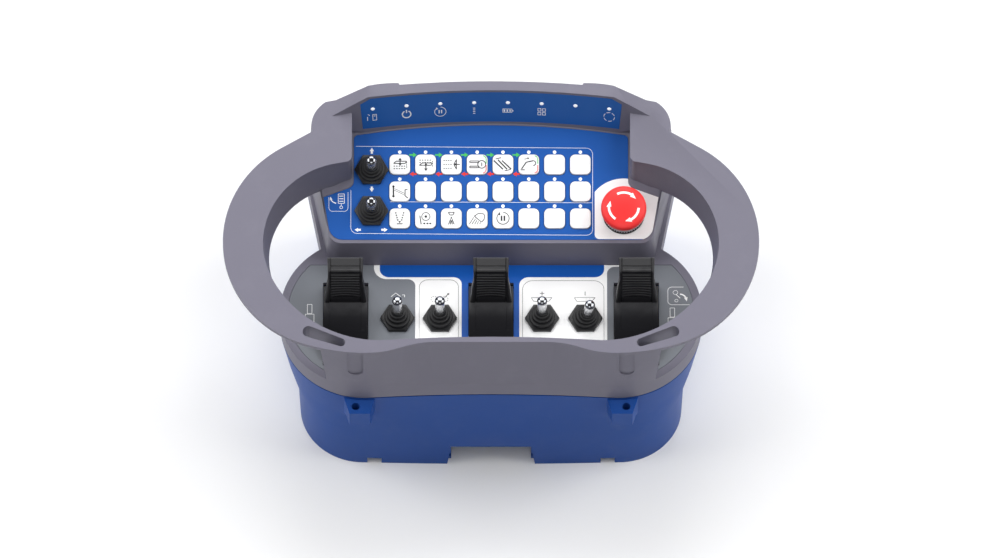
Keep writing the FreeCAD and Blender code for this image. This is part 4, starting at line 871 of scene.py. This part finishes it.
class REMOTE_OT_paddles(bpy.types.Operator):
    """Black thumb paddles: a drum cover with a shallow panel, and a leaning blade with a ribbed grip"""
    bl_idname = "remote.paddles"
    bl_label = "Paddles"

    def execute(self, context):
        foot = joint("paddle_left_tilt")["pos_m"][1]
        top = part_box("paddle_left")[1].z
        # Painted highlight: the drums lighten towards the blade and the blades towards their top facet, in place of
        # the lamps' sheen
        drum_finish = self.rubbed("painted_sheen_drum", 0.06, "Y", foot - 2 * MM, foot + 11 * MM)
        blade_finish = self.rubbed("painted_sheen_blade", 0.4, "Z", top - 6 * MM, top - 2 * MM)
        for side in ("left", "center", "right"):
            body = "paddle_" + side
            place = Matrix.Translation(joint(body + "_tilt")["pos_m"]) @ Matrix.Scale(MM, 4)
            add_piece(body + "_drum", self.drum(), drum_finish, body, place, [body], "black_plastic", smooth=40.0)
            add_piece(body + "_blade", self.blade(), blade_finish, body, place, [body], "black_plastic", smooth=40.0)
        return {"FINISHED"}

    def rubbed(self, name, gloss, axis, low, high):
        """Black plastic with a painted highlight: lighter gray from one place to another along an axis, standing in
        for the sheen of the lamps.
        """
        tints = settings()[0]
        made, tree, shader = new_finish(name, specular_ior_level=gloss)
        place = node(tree, "TexCoord").outputs["Object"]
        along = node(tree, "SeparateXYZ", {0: place}).outputs[axis]
        uneven = calc(tree, "MULTIPLY_ADD", noise(tree, place, 160.0, 3.0), 0.004, along)
        sheen_share = ramp(tree, uneven, low, high, interpolation_type="SMOOTHSTEP")
        tone = mixed(tree, sheen_share, tints.black, tints.rubbed)
        inputs = {"Colour": tone, "Roughness": 0.4, "Mottle": 0.1, "Pitch": GRAIN_PITCH}
        grain = group_node(tree, moulded_grain, inputs)
        dress(tree, shader, grain, grain, relief=0.1)
        return made

    def drum(self):
        """Part of a round cover about the axle, with a shallow panel before the blade."""
        right = [3.3, 6.6, 9.8, 10.1, 13.0, 13.6, 13.9, 14.08, DRUM_HALF]
        columns = [-x for x in reversed(right)] + [0.0] + right
        rows = [angle * 3.0 for angle in range(-28, 29)] + [-21.5, -20.5]

        def skin(x, angle):
            edge = max(0.0, abs(x) - DRUM_HALF + DRUM_ROUNDING)
            panel = 0.35 if abs(x) < 10.0 and -21.0 < angle < 12.0 else 0.0
            fall = DRUM_ROUNDING - sqrt(max(0.0, DRUM_ROUNDING ** 2 - edge ** 2))
            z, y = polar(DRUM_RADIUS - panel - fall, angle)
            return Vector((x, y, z))

        def hub(x, angle):
            z, y = polar(HUB_RADIUS, angle)
            return Vector((x, y, z))

        return sheet(columns, sorted(rows), skin, hub)

    def blade(self):
        """Thumb blade: grip between two cheeks, with a waist and a flared foot."""
        foot, shoulder, top = Vector((0, 7.4, 31.9)), Vector((0, 15.6, 58.5)), Vector((0, 22.5, 64.5))
        face = (shoulder - foot).length
        whole = face + (top - shoulder).length
        widths = ((-3.0, 13.4), (2.0, 13.1), (14.0, 11.9), (20.0, 11.05), (26.0, 11.1), (whole, 11.4))
        right = [0.93, 0.96, 1.02, 1.15, 1.6, 1.82, 1.94, 2.0]
        columns = [-c for c in reversed(right)] + [step / 12 * 0.9 for step in range(-12, 13)] + right
        rows = [-2.0 + 0.26 * step for step in range(150)] + [whole - 0.12, whole]
        rows = sorted(row for row in rows if row <= whole)

        def across(column, along):
            low, high = next(pair for pair in zip(widths, widths[1:]) if along <= pair[1][0])
            half = low[1] + (high[1] - low[1]) * (along - low[0]) / (high[0] - low[0])
            reach = abs(column)
            x = GRIP_HALF * reach if reach <= 1 else GRIP_HALF + (reach - 1) * (half - GRIP_HALF)
            return copysign(x, column)

        def grip(column, along):
            x, reach = across(column, along), abs(column)
            depth = blade_depth(x, along) if reach < 1 else 0.0
            if 0.95 < reach < 1.1:
                depth = max(depth, 0.8)
            if reach > 1.7:
                depth = 0.55 * ((reach - 1.7) / 0.3) ** 2
            if along > whole - 0.2:
                depth += 0.3 * (along - whole + 0.2) / 0.2
            start, end, past = (foot, shoulder, along) if along <= face else (shoulder, top, along - face)
            run = (end - start).normalized()
            return start + run * past + Vector((x, run.z * depth, -run.y * depth))

        def back(column, along):
            share = (along + 2.0) / (whole + 2.0)
            return Vector((across(column, along), 14.6 + 9.9 * share, 26.5 + 35.0 * share))

        return sheet(columns, rows, grip, back)


class REMOTE_OT_stop_button(bpy.types.Operator):
    """Red mushroom head with three turn arrows on a ribbed collar"""
    bl_idname = "remote.stop_button"
    bl_label = "Stop button"

    def execute(self, context):
        tints = context.scene.remote_colours
        place = stop_place()
        red = moulded("stop_red", tints.stop, roughness=0.35, mottle=0.03, pitch=900.0, relief=0.02,
                      specular_ior_level=0.2)
        head = lathe([(0, 15.2), (4.2, 15.2), (4.2, HEAD_UNDER), (11.8, HEAD_UNDER), (12.6, 9.3), (13.6, 10.6),
                      (14.3, 12.0), (14.5, 13.2), (14.5, 14.6), (14.3, 15.5), (13.8, 16.2), (13.0, 16.7),
                      (10.4, 17.3), (8.0, 17.8), (5.4, 18.2), (2.7, 18.5), (0, 18.6)], 72)
        add_piece("stop_cap", head, red, "stop_head", place, ["stop_head"], "stop_red", smooth=60.0)
        marks = bmesh.new()
        for start in (116.0, 236.0, 356.0):
            arc_line(marks, 0, 0, 9.5, 1.5, start, -60.0, (17.76, 17.46))
            corners = [(7.9, start - 57.0, 17.88), (11.1, start - 57.0, 17.22), (9.4, start - 81.0, 17.6)]
            marks.faces.new([marks.verts.new((*polar(radius, turn), z)) for radius, turn, z in corners])
        add_print("stop_arrows", marks, "white", place, "stop_head")
        collar = bmesh.new()
        bmesh.ops.create_cone(collar, cap_ends=True, segments=96, radius1=12.3, radius2=12.3, depth=3.0,
                              matrix=Matrix.Translation((0, 0, 3.2)))
        sides = [f for f in collar.faces if abs(f.normal.z) < 0.5]
        sides.sort(key=lambda f: atan2(f.calc_center_median().y, f.calc_center_median().x))
        bmesh.ops.inset_individual(collar, faces=sides[::2], thickness=0.06)
        for face in sides[::2]:
            bmesh.ops.translate(collar, vec=face.normal * 0.5, verts=face.verts)
        add_piece("stop_ribs", collar, moulded("collar_gray", tints.collar, roughness=0.42), "housing", place,
                  ["stop_collar"], "collar_gray", smooth=25.0)
        base = lathe([(11.0, -3.0), (11.0, 0.0), (12.9, 0.0), (13.3, 0.4), (13.3, 1.4), (12.9, 1.8), (9.0, 1.8),
                      (9.0, -3.0)], 72)
        bmesh.ops.holes_fill(base, edges=base.edges)
        add_piece("stop_base_ring", base, black_plastic(), "housing", place)
        return {"FINISHED"}


class REMOTE_OT_indicators(bpy.types.Operator):
    """Blue strip in the hood with its lights and symbols"""
    bl_idname = "remote.indicators"
    bl_label = "Indicators"

    def execute(self, context):
        paint_node("indicator_window", film("window_film", context.scene.remote_colours.window))
        # Painted light: the lenses of the strip and of the keys glow faintly, so that they show white though the
        # strip lies in the shade of the hood
        lens = moulded("light_white", (0.92, 0.95, 0.98), roughness=0.2, mottle=0.03, emission_strength=0.3)
        paint_node("key_lights", lens)
        lights = bmesh.new()
        spots = [(index - (STRIP_LIGHTS - 1) / 2) * LIGHT_PITCH for index in range(STRIP_LIGHTS)]
        for x in spots:
            dome = lathe([(0, 0.6), (0.7, 0.5), (1.2, 0.25), (1.45, -0.2), (1.45, -1.5), (0, -1.5)], 24)
            gather(lights, dome, strip_place(x, 0.0))
        add_piece("strip_lights", lights, lens, "housing", None, ["indicator_lights"], "light_white")
        for index, x in enumerate(spots):
            marks = bmesh.new()
            self.symbol(marks, index)
            if marks.faces:
                place = strip_place(x, -SYMBOL_DROP) @ Matrix.Diagonal((1.0, 1.15, 1.0, 1.0))
                add_print(f"strip_symbol_{index + 1}", marks, "white", place)
        return {"FINISHED"}

    def symbol(self, bm, index):
        """Symbol under one indicator light."""
        if index == 0:
            frame_line(bm, -0.2, 2.6, -2.9, 2.0, 0.3, 0.4)
            bar(bm, (0.6, 0.6), (1.8, 0.6), 0.5)
            bar(bm, (-3.4, -2.6), (-3.4, 0.4), 0.5)
            arc_line(bm, -3.4, 0.6, 1.6, 0.4, 20, 60)
        elif index == 1:
            arc_line(bm, 0, -0.4, 2.7, 0.8, 118, 304)
            bar(bm, (0, 0.6), (0, 3.0), 0.8)
        elif index == 2:
            arc_line(bm, 0, 0, 3.6, 0.4, 128, 320)
            triangle(bm, (-2.6, 3.6), (-2.0, 2.0), 1.5)
            for x in (-0.8, 0.8):
                bar(bm, (x, -1.3), (x, 1.3), 0.7)
        elif index == 3:
            for y in (-2.2, -0.8, 0.6, 2.0):
                bar(bm, (-0.7, y), (0.7, y), 0.5)
        elif index == 4:
            frame_line(bm, -3.4, 2.8, -1.5, 1.5, 0.4, 0.4)
            bar(bm, (3.2, -0.6), (3.2, 0.6), 0.5)
            for x in (-2.2, -0.4, 1.4):
                bar(bm, (x, -0.8), (x, 0.8), 0.9)
        elif index == 5:
            for y, x in product((-2.8, 0.2), (-2.6, 0.3)):
                frame_line(bm, x, x + 2.3, y, y + 2.4, 0.3, 0.4)
        elif index == 7:
            for start in range(20, 380, 60):
                arc_line(bm, 0, 0, 3.4, 0.4, start, 42)


class REMOTE_OT_small_parts(bpy.types.Operator):
    """Finishes of the parts inside the housings and of the parts that show in the seams"""
    bl_idname = "remote.small_parts"
    bl_label = "Small parts"

    def execute(self, context):
        steel = plated("steel", (0.58, 0.58, 0.6), 0.22)
        board = moulded("board_green", (0.02, 0.13, 0.05), roughness=0.4, mottle=0.15)
        brass = plated("brass", (0.78, 0.6, 0.28), 0.15)
        for finish, *names in (
                (black_rubber(), "housing_seal"), (brass, "battery_contacts"), (board, "keypad_board", "main_board"),
                (steel, "housing_screws", "radio_module", "paddle_axles", "paddle_springs"),
                (black_plastic(), "battery_pack", "antenna", "paddle_cases", "toggle_bodies", "stop_plunger",
                 "stop_contact_block")):
            for name in names:
                paint_node(name, finish)
        return {"FINISHED"}


class REMOTE_OT_stage(bpy.types.Operator):
    """Pale floor, soft studio light and the camera"""
    bl_idname = "remote.stage"
    bl_label = "Stage"

    def execute(self, context):
        bm = bmesh.new()
        bmesh.ops.create_grid(bm, x_segments=1, y_segments=1, size=6.0)
        white = new_finish("floor_white", roughness=0.9, base_color=(0.9, 0.9, 0.9, 1.0))[0]
        floor = new_object("floor", bm, white)
        aim = Vector((0.0, 0.0, 0.1))
        for name, place, size, power in (
                ("rear_softbox", (0.0, 1.5, 1.8), 1.7, 35.0), ("left_softbox", (-1.7, 0.1, 1.8), 1.7, 35.0),
                ("right_softbox", (1.7, 0.1, 1.8), 1.7, 35.0), ("front_fill", (0.0, -1.25, 1.8), 0.9, 7.0)):
            lamp = bpy.data.lights.new(name, "AREA")
            lamp.size = size
            lamp.energy = power
            light = bpy.data.objects.new(name, lamp)
            light.location = place
            light.rotation_euler = (aim - Vector(place)).to_track_quat("-Z", "Y").to_euler()
            context.scene.collection.objects.link(light)
        world = bpy.data.worlds.new("studio")
        world.use_nodes = True
        tree = world.node_tree
        feed(tree, tree.nodes["Background"], {"Color": (1.0, 1.0, 1.0, 1.0), "Strength": 0.12})
        context.scene.world = world
        lens = bpy.data.cameras.new("photo_view")
        lens.lens = 725.8
        lens.sensor_fit = "HORIZONTAL"
        camera = bpy.data.objects.new("photo_view", lens)
        camera.location = (0.00318, -6.3778, 11.131)
        camera.rotation_euler = (radians(30.0), 0.0, 0.0)
        context.scene.collection.objects.link(camera)
        context.scene.camera = camera
        context.scene.view_settings.view_transform = "Standard"
        return {"FINISHED"}


class REMOTE_PT_pieces(bpy.types.Panel):
    """List of the pieces in the sidebar"""
    bl_idname = "REMOTE_PT_pieces"
    bl_label = "Remote control"
    bl_space_type = "VIEW_3D"
    bl_region_type = "UI"
    bl_category = "Remote"

    def draw(self, context):
        for name in PIECES:
            self.layout.operator("remote." + name)
        for group in (context.scene.remote_sizes, context.scene.remote_colours):
            for name in group.__annotations__:
                self.layout.prop(group, name)


PIECES = ("housings", "deck_film", "keypad_film", "keys", "toggles", "paddles", "stop_button", "indicators",
          "small_parts", "stage")
CLASSES = (RemoteColours, RemoteSizes, REMOTE_OT_housings, REMOTE_OT_deck_film, REMOTE_OT_keypad_film,
           REMOTE_OT_keys, REMOTE_OT_toggles, REMOTE_OT_paddles, REMOTE_OT_stop_button, REMOTE_OT_indicators,
           REMOTE_OT_small_parts, REMOTE_OT_stage, REMOTE_PT_pieces)


def register():
    for each in CLASSES:
        bpy.utils.register_class(each)
    bpy.types.Scene.remote_colours = PointerProperty(type=RemoteColours)
    bpy.types.Scene.remote_sizes = PointerProperty(type=RemoteSizes)


def unregister():
    del bpy.types.Scene.remote_sizes
    del bpy.types.Scene.remote_colours
    for each in reversed(CLASSES):
        bpy.utils.unregister_class(each)


def main():
    register()
    for name in PIECES:
        getattr(bpy.ops.remote, name)()
    bpy.context.view_layer.update()


if __name__ == "__main__":
    main()
